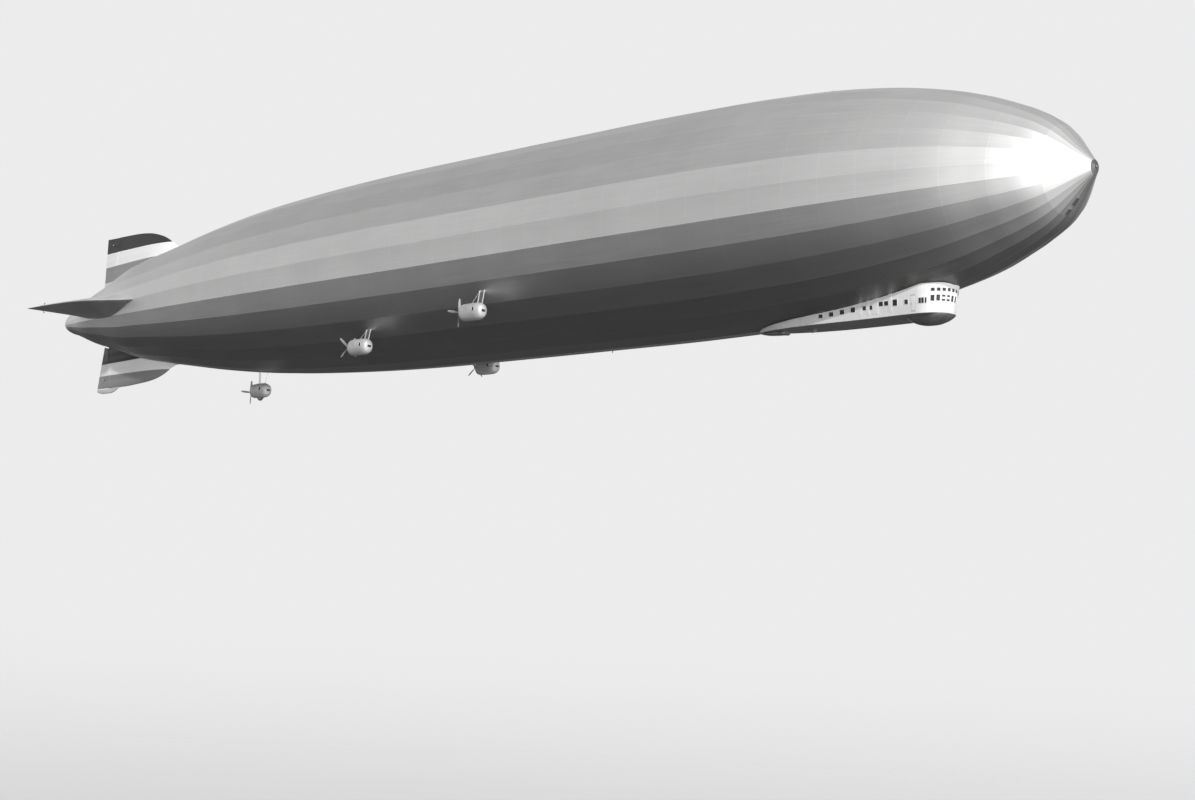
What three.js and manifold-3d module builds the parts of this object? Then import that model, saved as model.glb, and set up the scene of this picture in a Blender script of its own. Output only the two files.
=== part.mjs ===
// Rigid airship, a scale model at one tenth: fabric envelope in ring sections, four tail fins with
// rudders and elevators, a control and passenger car under the bow, and five engine cars.
// Millimetres, +X to the nose, +Y to port, +Z up. The origin is on the envelope's long axis amidships.
import * as THREE from "three";
import { mergeVertices } from "three/addons/utils/BufferGeometryUtils.js";
import Module from "manifold-3d";

const wasm = await Module();
wasm.setup();

// The tables below are in metres of the full-size ship. One of them is 100 mm of this model.
// "aft" is always the distance behind the nose tip, "y" is to port and "z" is up from the axis.
const METRE = 100;
const ORIGIN_AFT = 110;
const GAP = 0.3; // mm between two pieces that touch

// Envelope: a polygon of 28 sides with corners straight up, straight down and at both sides.
const HULL_SIDES = 28;
const SKIN = 10; // mm, thickness of every envelope section
// aft, radius at the polygon's corners
const HULL = [
  [1.5, 2.16],
  [4, 5.1],
  [8, 7.64],
  [14, 10.08],
  [22, 12.11],
  [32, 13.63],
  [45, 14.58],
  [60, 15.02],
  [80, 15.17],
  [100, 15.25],
  [120, 15.25],
  [140, 14.8],
  [160, 13.81],
  [175, 12.44],
  [190, 10.63],
  [202, 9.18],
  [213, 6.68],
  [222, 4.74],
  [229, 2.8],
  [234, 1.45],
  [236.6, 0.05],
];
// name, front station, rear station
const ENVELOPE_SECTIONS = [
  ["envelope_bow", 4, 32],
  ["envelope_fore", 32, 80],
  ["envelope_middle", 80, 120],
  ["envelope_aft", 120, 160],
  ["envelope_stern", 160, 202],
  ["envelope_tail", 202, 229],
];

// Fins: heights are measured outwards from the axis.
const HINGE_AFT = 217; // hinge line of the rudders and elevators
const TRAILING_AFT = 221.7;
const SURFACE_ROOT = 6.15; // inner end of a rudder or elevator at its hinge
const SURFACE_ROOT_TRAILING = 5.15;
const NOSE_ROOT = 0.34; // half thickness of a rudder at its hinge, at its inner end
const NOSE_TIP = 0.12; // and at its outer end
const NOSE_CLEAR = 0.06; // running clearance between a fin's rear face and the rudder's nose
const TRAILING_HALF = 0.05;
const PIN = 0.06; // radius of a hinge pin
const PIN_HOLE = 0.065;
// aft, height of the tip, half thickness at the hull, half thickness at the tip
const FIN_OUTLINE = [
  [193.6, 10.45, 0.08, 0.08],
  [195.4, 11.85, 0.35, 0.12],
  [197.5, 12.7, 0.6, 0.16],
  [200.9, 14.31, 0.85, 0.22],
  [204, 15.03, 0.95, 0.24],
  [208.6, 15.41, 0.9, 0.22],
  [213, 15.5, 0.68, 0.18],
];
const LOWER_FIN_OUTLINE = [
  [193.6, 10.35, 0.08, 0.08],
  [197.2, 11.7, 0.6, 0.16],
  [201.4, 12.95, 0.85, 0.22],
  [206.5, 13.37, 0.95, 0.24],
  [212.7, 13.5, 0.7, 0.18],
];
// name of the fin, name of its moving surface, turn about X, tip height at the hinge, lug heights
const FINS = [
  ["fin_upper", "rudder_upper", 0, 15.55, [9, 14], FIN_OUTLINE],
  ["fin_lower", "rudder_lower", 180, 13.5, [8, 12.3], LOWER_FIN_OUTLINE],
  ["fin_port", "elevator_port", -90, 15.55, [9, 14], FIN_OUTLINE],
  ["fin_starboard", "elevator_starboard", 90, 15.55, [9, 14], FIN_OUTLINE],
];
// Landing buffer under the lower fin: aft, half width, depth of its top, depth of its foot
const FIN_BUMPER = [
  [213.2, 0.14, 13.503, 13.62],
  [214.4, 0.2, 13.503, 13.95],
  [216.4, 0.24, 13.503, 14.12],
  [216.6, 0.24, 13.57, 14.15],
  [218, 0.26, 13.62, 14.45],
  [220.6, 0.26, 13.62, 14.45],
  [221.65, 0.22, 13.62, 14.3],
];

// Control and passenger car under the bow.
const CAR_WIDE = 3; // half width
const BOW_CENTRE = 22; // centre of the half-round bow in plan
const BOW_ANGLES = [84, 75, 60, 45, 30, 15, 0]; // corners of the bow, degrees forward of abeam
// rear of the plan: aft, half width
const PLAN_REAR = [
  [38, 3],
  [42, 2.72],
  [45.5, 2.1],
  [48.2, 1.25],
  [49.5, 0.5],
];
const WALL = 0.12;
const GLASS = 0.03;
const FLOOR_Z = -14.85;
const FLOOR_RISE = 0.4; // how much the floor and the wall's lower edge lift at the bow
// keel under the car: aft, z of the keel, share of the half width that the flat keel takes
const KEEL = [
  [19.016, -14.75, 0.6],
  [19.4, -15.02, 0.6],
  [20.5, -15.3, 0.6],
  [22, -15.38, 0.6],
  [30, -15.38, 0.6],
  [38, -15.38, 0.6],
  [40.2, -15.34, 0.55],
  [42, -15.11, 0.5],
  [45.5, -15.12, 0.5],
  [48.2, -15.12, 0.5],
  [49.5, -15.04, 0.5],
];
// Control-room panes round the bow, in two rows: degrees forward of abeam to starboard
const PANE_ANGLES = [41, 53.25, 65.5, 77.75, 90, 102.25, 114.5, 126.75, 139];
const PANE_WIDE = 0.42;
const PANE_ROWS = [
  [-12.62, -12.22],
  [-13.78, -13.05],
];
const PANE_RISE = 0.32; // how much a row lifts at the bow
// Side windows of both walls: front edge aft, rear edge aft, sill z, head z
const SIDE_WINDOWS = [
  [20.78, 21.1, -13.82, -12.95],
  [21.2, 21.6, -13.82, -12.95],
  [21.7, 22.05, -13.82, -12.95],
  [23.3, 23.8, -13.85, -13.25],
  [24.9, 25.6, -13.85, -13.0],
  [26.1, 26.6, -13.85, -13.2],
  [26.9, 27.6, -13.85, -13.2],
  [28.45, 29.05, -13.98, -13.3],
  [29.5, 30.1, -14.0, -13.4],
  [31.3, 32, -14.1, -13.5],
  [33, 33.7, -14.2, -13.65],
  [34.7, 35.4, -14.3, -13.8],
  [36.4, 37.1, -14.38, -13.95],
];
const DOOR = { front: 22.3, rear: 22.95, sill: -14.78, head: -12.85, thick: 0.08 };
const DOOR_CLEAR = 0.05;
const JAMB_CLEAR = 0.1; // at the hinge, so that the leaf can stand square to the wall
const DOOR_POST = 0.04;
// bulkheads across the car: name, aft
const BULKHEADS = [
  ["bulkhead_control", 22.13],
  ["bulkhead_saloon", 24.35],
  ["bulkhead_cabins", 30.7],
];
const BULKHEAD_THICK = 0.08;
// Landing buffer under the car's bow: aft, half width, z of its top, z of its foot
const CAR_BUMPER = [
  [19.3, 0.9, -14.8, -15.2],
  [20.05, 1.3, -15, -15.8],
  [21.1, 1.5, -15.2, -16.06],
  [21.6, 1.5, -15.2, -16.1],
  [22.6, 1.5, -15.2, -16.1],
  [23.25, 1.4, -15.2, -15.96],
  [24, 1.2, -15.2, -15.67],
  [24.7, 0.9, -15.2, -15.5],
];
const REAR_BUMPER = [
  [44.6, 0.5, -15, -15.34],
  [44.9, 0.7, -15, -15.46],
  [46.7, 0.8, -15, -15.42],
  [47.9, 0.7, -15, -15.39],
  [49.2, 0.4, -14.95, -15.2],
];

// Engine cars: name, aft, y and z of the centre, rest angle of the propeller
const ENGINE_CARS = [
  ["forward_port", 89.3, 14.8, -11.0, 12],
  ["forward_starboard", 89.3, -14.8, -11.0, 0],
  ["aft_port", 118.8, 12.3, -13.6, 42],
  ["aft_starboard", 118.8, -12.3, -13.6, 28],
  ["centre", 164.3, 0, -16.75, 0],
];
const CAR_SIDES = 12;
// shell of an engine car: distance ahead of its centre, half width, half height
const CAR_SHELL = [
  [2.9, 0.62, 0.72],
  [2.5, 0.86, 0.98],
  [1.6, 1.0, 1.15],
  [-0.6, 1.0, 1.15],
  [-1.7, 0.8, 0.92],
  [-2.4, 0.5, 0.58],
  [-2.8, 0.3, 0.34],
];
const CAR_WALL = 0.06;
const REAR_WALL = 0.35; // closed tail of the shell, which holds the shaft's bearing
const CAR_WINDOW = { front: 1.15, rear: 0.2, sill: 0.05, head: 0.62 };
const SHAFT = 0.07;
const SHAFT_HOLE = 0.076;
const HUB_AHEAD = -3.3; // centre of the propeller, from the car's centre
const HUB = { radius: 0.2, front: 0.22, rear: 0.3 };
// a blade: distance from the hub's centre, chord, thickness, pitch in degrees
const BLADE = [
  [0.12, 0.2, 0.13, 62],
  [0.7, 0.34, 0.09, 42],
  [1.5, 0.36, 0.05, 26],
  [2.2, 0.16, 0.03, 18],
];
const BLADES = 4;
const STRUT = 0.06;
const SADDLE = { front: 1.5, rear: -1.5, half: 0.22, thick: 0.06 };

// A piece's own colour, roughness and metalness.
const FINISH = {
  dope: [0xb9b9b7, 0.45, 0.25],
  fin: [0xb9b9b7, 0.5, 0.2],
  metal: [0xc9c9c6, 0.35, 0.6],
  white: [0xe9e9e6, 0.5, 0],
  under: [0x5c5a58, 0.6, 0.1],
  rubber: [0x3b3a39, 0.8, 0],
  glass: [0x35383c, 0.1, 0],
  iron: [0x4a4a4a, 0.5, 0.7],
  wood: [0x3d332c, 0.45, 0],
  panel: [0xb7a98e, 0.6, 0],
};

const group = new THREE.Group();
const DEGREE = Math.PI / 180;

function place(aft, y, z) {
  return new THREE.Vector3((ORIGIN_AFT - aft) * METRE, y * METRE, z * METRE);
}

// A three.js geometry as a solid, with shared corners merged and faces turned out.
function solidOf(geometry) {
  const bare = geometry.index ? geometry.toNonIndexed() : geometry.clone();
  for (const name of Object.keys(bare.attributes)) {
    if (name !== "position") bare.deleteAttribute(name);
  }
  const merged = mergeVertices(bare, 1e-3);
  const vertProperties = merged.attributes.position.array;
  const triVerts = new Uint32Array(merged.index.array);
  const made = new wasm.Manifold(new wasm.Mesh({ numProp: 3, vertProperties, triVerts }));
  if (made.volume() > 0) return made;
  return new wasm.Manifold(new wasm.Mesh({ numProp: 3, vertProperties, triVerts: triVerts.reverse() }));
}

function add(name, finish, solid) {
  const mesh = solid.getMesh();
  const geometry = new THREE.BufferGeometry();
  geometry.setAttribute("position", new THREE.BufferAttribute(mesh.vertProperties, 3));
  geometry.setIndex(new THREE.BufferAttribute(mesh.triVerts, 1));
  geometry.computeVertexNormals();
  const [color, roughness, metalness] = FINISH[finish];
  const made = new THREE.Mesh(geometry, new THREE.MeshStandardMaterial({ color, roughness, metalness }));
  made.name = name;
  group.add(made);
}

// A closed solid through rings with the same number of corners, each ring convex and flat.
function loft(rings) {
  const sides = rings[0].length;
  const points = rings.flat();
  const faces = [];
  for (let ring = 0; ring < rings.length - 1; ring++) {
    for (let side = 0; side < sides; side++) {
      const a = ring * sides + side;
      const b = ring * sides + ((side + 1) % sides);
      faces.push(a, b, b + sides, a, b + sides, a + sides);
    }
  }
  const last = (rings.length - 1) * sides;
  for (let side = 1; side < sides - 1; side++) {
    faces.push(0, side + 1, side, last, last + side, last + side + 1);
  }
  const geometry = new THREE.BufferGeometry().setFromPoints(points);
  geometry.setIndex(faces);
  return solidOf(geometry);
}

// Turns a profile of [aft, radius] about the ship's axis.
function turned(profile, sides = HULL_SIDES) {
  const outline = profile.map(([aft, radius]) => new THREE.Vector2(radius, (ORIGIN_AFT - aft) * METRE));
  return solidOf(new THREE.LatheGeometry(outline, sides).rotateZ(-Math.PI / 2));
}

function box(low, high) {
  const size = new THREE.Vector3().subVectors(high, low);
  const middle = new THREE.Vector3().addVectors(low, high).multiplyScalar(0.5);
  const geometry = new THREE.BoxGeometry(Math.abs(size.x), Math.abs(size.y), Math.abs(size.z));
  return solidOf(geometry.translate(middle.x, middle.y, middle.z));
}

// A straight bar of round or square section between two points, radius in metres of the ship.
function bar(from, to, radius, sides) {
  const length = from.distanceTo(to);
  const geometry = new THREE.CylinderGeometry(radius * METRE, radius * METRE, length, sides);
  const turn = new THREE.Quaternion().setFromUnitVectors(
    new THREE.Vector3(0, 1, 0),
    new THREE.Vector3().subVectors(to, from).normalize(),
  );
  const middle = new THREE.Vector3().addVectors(from, to).multiplyScalar(0.5);
  return solidOf(geometry.applyQuaternion(turn).translate(middle.x, middle.y, middle.z));
}

function hullRadius(aft) {
  const next = HULL.findIndex(([station]) => station >= aft);
  const [x1, r1] = HULL[next];
  const [x0, r0] = HULL[Math.max(next - 1, 0)];
  return next === 0 ? r1 : r0 + ((r1 - r0) * (aft - x0)) / (x1 - x0);
}

// Envelope sections: open rings that end at the main frames.
const flat = Math.cos(Math.PI / HULL_SIDES); // the middle of a side lies at this share of the radius

function innerRadius(index) {
  const [x0, r0] = HULL[Math.max(index - 1, 0)];
  const [x1, r1] = HULL[Math.min(index + 1, HULL.length - 1)];
  const slope = Math.cos(Math.atan2(r1 - r0, x1 - x0));
  return HULL[index][1] * METRE - SKIN / (flat * slope);
}

for (const [name, front, rear] of ENVELOPE_SECTIONS) {
  const first = HULL.findIndex(([aft]) => aft === front);
  const last = HULL.findIndex(([aft]) => aft === rear);
  const outer = [];
  const inner = [];
  for (let index = first; index <= last; index++) {
    const trim = index === first ? GAP / 2 : index === last ? -GAP / 2 : 0;
    const aft = HULL[index][0] + trim / METRE;
    outer.push([aft, HULL[index][1] * METRE]);
    inner.unshift([aft, innerRadius(index)]);
  }
  add(name, "dope", turned([...outer, ...inner, outer[0]]));
}

// Nose cap: the mooring cone, solid at its tip, with the short spindle that a mast's cup takes.
const NOSE_END = 4 - GAP / 2 / METRE;
add(
  "nose_cap",
  "metal",
  turned([
    [0, 0],
    [0, 22],
    [0.35, 22],
    [0.35, 70],
    [1.5, 216],
    [NOSE_END, 510],
    [NOSE_END, innerRadius(1)],
    [1.8, 220],
    [1, 90],
    [1, 0],
  ]),
);
const TAIL_START = 229 + GAP / 2 / METRE;
add(
  "tail_cap",
  "dope",
  turned([
    [236.6, 0],
    [236.6, 5],
    [234, 145],
    [TAIL_START, 280],
    [TAIL_START, innerRadius(18)],
    [233.6, 138],
    [234.6, 90],
    [235.2, 0],
  ]),
);

// What stands on the envelope is cut back to it with this solid, which is one gap larger.
const hullCore = turned([
  [0, 0],
  ...HULL.map(([aft, radius]) => [aft, radius * METRE + GAP / flat]),
  [236.6, 0],
]);

// Fins and their moving surfaces, built upright and then turned about the axis.
function finRing(aft, low, high, rootHalf, tipHalf) {
  const shoulder = high - 2 * tipHalf;
  return [
    place(aft, -rootHalf, low),
    place(aft, -tipHalf, shoulder),
    place(aft, 0, high),
    place(aft, tipHalf, shoulder),
    place(aft, rootHalf, low),
  ];
}

function fixedFin(outline, hingeTip, lugs) {
  const ROOT = 4.2; // height of the loft's foot, inside the envelope
  const rings = outline.map(([aft, high, rootHalf, tipHalf]) => finRing(aft, ROOT, high, rootHalf, tipHalf));
  const face = finRing(HINGE_AFT, ROOT, hingeTip, NOSE_ROOT + 0.1, NOSE_TIP + 0.02);
  // The rear face leans so that it keeps clear of the rudder's tapering nose.
  face.forEach((point, index) => {
    const nose = index === 0 || index === 4 ? NOSE_ROOT + 0.045 : NOSE_TIP;
    point.x += (nose + NOSE_CLEAR) * METRE;
  });
  let fin = loft([...rings, face]).subtract(hullCore);
  for (const height of lugs) {
    const plate = box(place(HINGE_AFT - 0.9, -0.1, height - 0.12), place(HINGE_AFT + 0.12, 0.1, height + 0.12));
    const hole = bar(place(HINGE_AFT, 0, height - 1), place(HINGE_AFT, 0, height + 1), PIN_HOLE, 16);
    fin = fin.add(plate).subtract(hole);
  }
  return fin;
}

function noseRing(height, trailingHeight, nose) {
  const ring = [];
  for (let turn = 0; turn <= 6; turn++) {
    const angle = (turn / 6) * Math.PI;
    ring.push(place(HINGE_AFT - nose * Math.sin(angle), nose * Math.cos(angle), height));
  }
  ring.push(place(TRAILING_AFT, -TRAILING_HALF, trailingHeight));
  ring.push(place(TRAILING_AFT, TRAILING_HALF, trailingHeight));
  // the ring stays flat: heights follow the straight line from the hinge to the trailing edge
  for (const point of ring) {
    const aft = ORIGIN_AFT - point.x / METRE;
    const share = (aft - HINGE_AFT) / (TRAILING_AFT - HINGE_AFT);
    point.z = (height + (trailingHeight - height) * share) * METRE;
  }
  return ring;
}

function movingSurface(hingeTip, lugs) {
  const root = noseRing(SURFACE_ROOT, SURFACE_ROOT_TRAILING, NOSE_ROOT);
  const tip = noseRing(hingeTip - 0.05, hingeTip, NOSE_TIP);
  let surface = loft([root, tip]);
  for (const height of lugs) {
    const slot = box(place(HINGE_AFT - 0.5, -0.5, height - 0.17), place(HINGE_AFT + 0.22, 0.5, height + 0.17));
    const pin = bar(place(HINGE_AFT, 0, height - 0.3), place(HINGE_AFT, 0, height + 0.3), PIN, 16);
    surface = surface.subtract(slot).add(pin);
  }
  return surface;
}

for (const [finName, surfaceName, turn, hingeTip, lugs, outline] of FINS) {
  add(finName, "fin", fixedFin(outline, hingeTip, lugs).rotate([turn, 0, 0]));
  add(surfaceName, "fin", movingSurface(hingeTip, lugs).rotate([turn, 0, 0]));
}

// Buffers: a flat top and a narrower flat foot, drawn out along the keel.
function buffer(table, sign = 1) {
  return loft(
    table.map(([aft, half, top, foot]) => {
      const shoulder = foot + 0.4 * (top - foot);
      return [
        place(aft, -half, sign * top),
        place(aft, -half, sign * shoulder),
        place(aft, -0.55 * half, sign * foot),
        place(aft, 0.55 * half, sign * foot),
        place(aft, half, sign * shoulder),
        place(aft, half, sign * top),
      ];
    }),
  );
}

add("fin_bumper", "rubber", buffer(FIN_BUMPER, -1));

// Plan of the control car, from the bow round the starboard side to the stern and back to port.
function plan(inset) {
  const half = BOW_ANGLES.map((angle) => {
    const radius = CAR_WIDE - inset;
    return [BOW_CENTRE - radius * Math.sin(angle * DEGREE), radius * Math.cos(angle * DEGREE)];
  });
  half.push(...PLAN_REAR.map(([aft, wide]) => [aft - inset, Math.max(wide - inset, 0.2)]));
  return [...half.map(([aft, wide]) => [aft, -wide]), ...half.reverse()];
}

// An upright prism over a plan, between two heights.
function prism(points, low, high) {
  const shape = new THREE.Shape(points.map(([aft, y]) => new THREE.Vector2((ORIGIN_AFT - aft) * METRE, y * METRE)));
  const geometry = new THREE.ExtrudeGeometry(shape, { depth: (high - low) * METRE, bevelEnabled: false });
  return solidOf(geometry.translate(0, 0, low * METRE));
}

function halfWidth(aft) {
  if (aft < BOW_CENTRE) return Math.sqrt(Math.max(CAR_WIDE ** 2 - (BOW_CENTRE - aft) ** 2, 0));
  const next = PLAN_REAR.findIndex(([station]) => station >= aft);
  const [x1, w1] = PLAN_REAR[next];
  const [x0, w0] = next ? PLAN_REAR[next - 1] : [BOW_CENTRE, CAR_WIDE];
  return w0 + ((w1 - w0) * (aft - x0)) / (x1 - x0);
}

function floorHeight(aft) {
  const share = Math.max((BOW_CENTRE - aft) / CAR_WIDE, 0);
  return FLOOR_Z + FLOOR_RISE * share ** 2;
}

function keelAt(aft) {
  const next = Math.max(
    KEEL.findIndex(([station]) => station >= aft - 1e-6),
    1,
  );
  const [x1, z1, f1] = KEEL[next];
  const [x0, z0, f0] = KEEL[next - 1];
  const share = (aft - x0) / (x1 - x0);
  return [z0 + (z1 - z0) * share, f0 + (f1 - f0) * share];
}

// Belly: floor and keel in one, its chine rising at the bow. As a cutter it is wider, higher and deeper.
function belly(spare, lift, drop = 0) {
  const bow = BOW_ANGLES.map((angle) => BOW_CENTRE - CAR_WIDE * Math.sin(angle * DEGREE));
  const stations = [...bow, 30, 38, 40.2, 42, 45.5, 48.2, 49.5];
  return loft(
    stations.map((aft) => {
      const wide = halfWidth(aft) + spare;
      const [keel, share] = keelAt(aft);
      const floor = floorHeight(aft);
      const chine = floor - 0.18;
      return [
        place(aft, -wide, floor + lift),
        place(aft, -wide, chine),
        place(aft, -wide * share, Math.min(keel, chine - 0.05) - drop),
        place(aft, wide * share, Math.min(keel, chine - 0.05) - drop),
        place(aft, wide, chine),
        place(aft, wide, floor + lift),
      ];
    }),
  );
}

const postHole = (low, high) =>
  bar(place(DOOR.front, -CAR_WIDE + WALL / 2, low), place(DOOR.front, -CAR_WIDE + WALL / 2, high), DOOR_POST + 0.005, 12);
const bellySolid = belly(0, 0).subtract(hullCore);
const bellyCutter = belly(0.2, GAP / METRE, 1);
add("gondola_belly", "under", bellySolid.subtract(postHole(DOOR.sill - 0.25, DOOR.sill + 0.1)));

// Every window and the doorway as cutters.
function windowCutters() {
  const cutters = [];
  for (const angle of PANE_ANGLES) {
    const forward = Math.sin(angle * DEGREE);
    for (const [sill, head] of PANE_ROWS) {
      const lift = PANE_RISE * forward;
      const geometry = new THREE.BoxGeometry(0.6 * METRE, PANE_WIDE * METRE, (head - sill) * METRE);
      geometry.translate((CAR_WIDE - 0.05) * METRE, 0, 0);
      geometry.rotateZ((angle - 90) * DEGREE);
      const middle = place(BOW_CENTRE, 0, (sill + head) / 2 + lift);
      cutters.push(solidOf(geometry.translate(middle.x, middle.y, middle.z)));
    }
  }
  for (const [front, rear, sill, head] of SIDE_WINDOWS) {
    cutters.push(box(place(front, -3.3, sill), place(rear, -2.4, head)));
    cutters.push(box(place(front, 2.4, sill), place(rear, 3.3, head)));
  }
  return cutters;
}

const WALL_FOOT = -14.9;
const WALL_TOP = -10.8;
const outside = prism(plan(0), WALL_FOOT, WALL_TOP);
const inside = prism(plan(WALL), WALL_FOOT - 0.1, WALL_TOP + 0.1);
let walls = outside.subtract(inside).subtract(hullCore).subtract(bellyCutter);
for (const cutter of windowCutters()) walls = walls.subtract(cutter);
const doorway = box(
  place(DOOR.front - JAMB_CLEAR, -3.3, DOOR.sill - 0.2),
  place(DOOR.rear + DOOR_CLEAR, -2.7, DOOR.head + DOOR_CLEAR),
);
walls = walls.subtract(doorway).subtract(postHole(DOOR.head, DOOR.head + 0.25));
add("gondola_walls", "white", walls);

// Entry door on the starboard side, on a post that turns in the floor and the lintel.
const doorMiddle = -CAR_WIDE + WALL / 2;
const doorLeaf = box(
  place(DOOR.front, doorMiddle - DOOR.thick / 2, DOOR.sill),
  place(DOOR.rear, doorMiddle + DOOR.thick / 2, DOOR.head),
);
const doorPost = bar(
  place(DOOR.front, doorMiddle, DOOR.sill - 0.2),
  place(DOOR.front, doorMiddle, DOOR.head + 0.2),
  DOOR_POST,
  12,
);
add("gondola_door", "white", doorLeaf.add(doorPost));

// Glazing: clear strips close behind the walls, one round the control room and one down each side.
const glassOutside = prism(plan(WALL + GAP / METRE), -14.5, -10.8);
const glassInside = prism(plan(WALL + GAP / METRE + GLASS), -14.6, -10.7);
const glassRing = glassOutside.subtract(glassInside).subtract(hullCore);
const glassSpans = [
  ["glazing_control", 18, 22.05, -4, 4, -14.3],
  ["glazing_starboard", 23.15, 38, -4, 0, -14.5],
  ["glazing_port", 22.25, 38, 0, 4, -14.5],
];
for (const [name, front, rear, low, high, sill] of glassSpans) {
  const span = loft([front, rear].map((aft) => [
    place(aft, low, sill),
    place(aft, high, sill),
    place(aft, high, -10.5),
    place(aft, low, -10.5),
  ]));
  add(name, "glass", glassRing.intersect(span));
}

const roomClear = WALL + GLASS + (2 * GAP) / METRE;
const room = prism(plan(roomClear), WALL_FOOT, WALL_TOP).subtract(hullCore).subtract(bellyCutter);
for (const [name, aft] of BULKHEADS) {
  const slice = box(place(aft, -4, -16), place(aft + BULKHEAD_THICK, 4, -10));
  add(name, "panel", room.intersect(slice));
}

add("gondola_bumper", "rubber", buffer(CAR_BUMPER).subtract(belly(0.3, 0).translate([0, 0, -GAP])));
add("gondola_rear_bumper", "rubber", buffer(REAR_BUMPER).subtract(belly(0.3, 0).translate([0, 0, -GAP])));

// Engine cars.
function carRing(centre, ahead, halfWide, halfHigh, inset = 0) {
  const ring = [];
  const [aft, y, z] = centre;
  for (let side = 0; side < CAR_SIDES; side++) {
    const angle = ((side + 0.5) / CAR_SIDES) * 2 * Math.PI;
    const wide = (halfWide - inset) * Math.sin(angle);
    const high = (halfHigh - inset) * Math.cos(angle);
    ring.push(place(aft - ahead, y + wide, z + high));
  }
  return ring;
}

function carShell(centre) {
  const outer = loft(CAR_SHELL.map(([ahead, wide, high]) => carRing(centre, ahead, wide, high)));
  const first = CAR_SHELL[0];
  const last = CAR_SHELL[CAR_SHELL.length - 1];
  const inner = loft([
    carRing(centre, first[0] + 0.1, first[1], first[2], CAR_WALL),
    ...CAR_SHELL.slice(0, -1).map(([ahead, wide, high]) => carRing(centre, ahead, wide, high, CAR_WALL)),
    carRing(centre, last[0] + REAR_WALL, last[1] + 0.08, last[2] + 0.08, CAR_WALL),
  ]);
  const [aft, y, z] = centre;
  const window = box(
    place(aft - CAR_WINDOW.front, y - 2, z + CAR_WINDOW.sill),
    place(aft - CAR_WINDOW.rear, y + 2, z + CAR_WINDOW.head),
  );
  const bearing = bar(place(aft + 2, y, z), place(aft + 3.5, y, z), SHAFT_HOLE, 16);
  return outer.subtract(inner).subtract(window).subtract(bearing);
}

function radiator(centre) {
  const [front, second] = CAR_SHELL;
  const clear = CAR_WALL + GAP / METRE;
  const grow = (second[1] - front[1]) / (front[0] - second[0]);
  const growHigh = (second[2] - front[2]) / (front[0] - second[0]);
  const depth = [0.05, 0.25];
  return loft(
    depth.map((back) => carRing(centre, front[0] - back, front[1] + grow * back, front[2] + growHigh * back, clear)),
  );
}

function engineBlock([aft, y, z]) {
  const floor = -(CAR_SHELL[2][2] - CAR_WALL) * Math.cos(Math.PI / CAR_SIDES) + GAP / METRE;
  const block = box(place(aft - 1.3, y - 0.38, z - 0.6), place(aft + 0.5, y + 0.38, z + 0.35));
  const bearer = box(place(aft - 1.2, y - 0.2, z + floor), place(aft + 0.4, y + 0.2, z - 0.5));
  return block.add(bearer);
}

// Saddle on the roof of a car, the struts that carry it from the envelope, and the ladder.
function mounting([aft, y, z]) {
  const roof = CAR_SHELL[2][2] * Math.cos(Math.PI / CAR_SIDES) + GAP / METRE;
  const saddleZ = z + roof;
  let made = box(
    place(aft - SADDLE.front, y - SADDLE.half, saddleZ),
    place(aft - SADDLE.rear, y + SADDLE.half, saddleZ + SADDLE.thick),
  );
  const middle = saddleZ + SADDLE.thick / 2;
  const around = Math.atan2(y, -middle);
  const onHull = (station, degrees) => {
    const angle = around + degrees * DEGREE;
    const radius = hullRadius(station) - 0.3;
    return place(station, radius * Math.sin(angle), -radius * Math.cos(angle));
  };
  for (const along of [1.35, -1.35]) {
    for (const side of [-1, 1]) {
      const foot = place(aft - along, y + side * 0.12, middle);
      made = made.add(bar(foot, onHull(aft - along * 1.25, side * 7), STRUT, 6));
    }
  }
  const rails = [0.55, 0.95].map((along) => [place(aft - along, y, middle), onHull(aft - along, 0)]);
  for (const [foot, head] of rails) made = made.add(bar(foot, head, 0.035, 6));
  const RUNGS = 6;
  for (let rung = 1; rung < RUNGS; rung++) {
    const ends = rails.map(([foot, head]) => new THREE.Vector3().lerpVectors(foot, head, rung / RUNGS));
    made = made.add(bar(ends[0], ends[1], 0.02, 4));
  }
  const roofCutter = loft(
    CAR_SHELL.map(([ahead, wide, high]) => carRing([aft, y, z], ahead, wide, high, (-1.05 * GAP) / METRE)),
  );
  return made.subtract(hullCore).subtract(roofCutter);
}

function propeller([aft, y, z], rest) {
  const hub = bar(place(aft - HUB_AHEAD - HUB.front, y, z), place(aft - HUB_AHEAD + HUB.rear, y, z), HUB.radius, 12);
  const shaft = bar(place(aft - HUB_AHEAD - 0.78, y, z), place(aft - HUB_AHEAD, y, z), SHAFT, 16);
  let made = hub.add(shaft);
  for (let blade = 0; blade < BLADES; blade++) {
    const turn = ((blade / BLADES) * 360 + rest) * DEGREE;
    const rings = BLADE.map(([out, chord, thick, pitch]) => {
      const lean = pitch * DEGREE;
      const section = [
        [-0.5, 0],
        [-0.2, 0.5],
        [0.2, 0.4],
        [0.5, 0],
        [0.2, -0.1],
        [-0.2, -0.1],
      ];
      return section.map(([along, over]) => {
        const across = chord * along * Math.cos(lean) - thick * over * Math.sin(lean);
        const ahead = chord * along * Math.sin(lean) + thick * over * Math.cos(lean);
        const sideways = across * Math.cos(turn) + out * Math.sin(turn);
        const up = out * Math.cos(turn) - across * Math.sin(turn);
        return place(aft - HUB_AHEAD - ahead, y + sideways, z + up);
      });
    });
    made = made.add(loft(rings));
  }
  return made;
}

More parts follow.
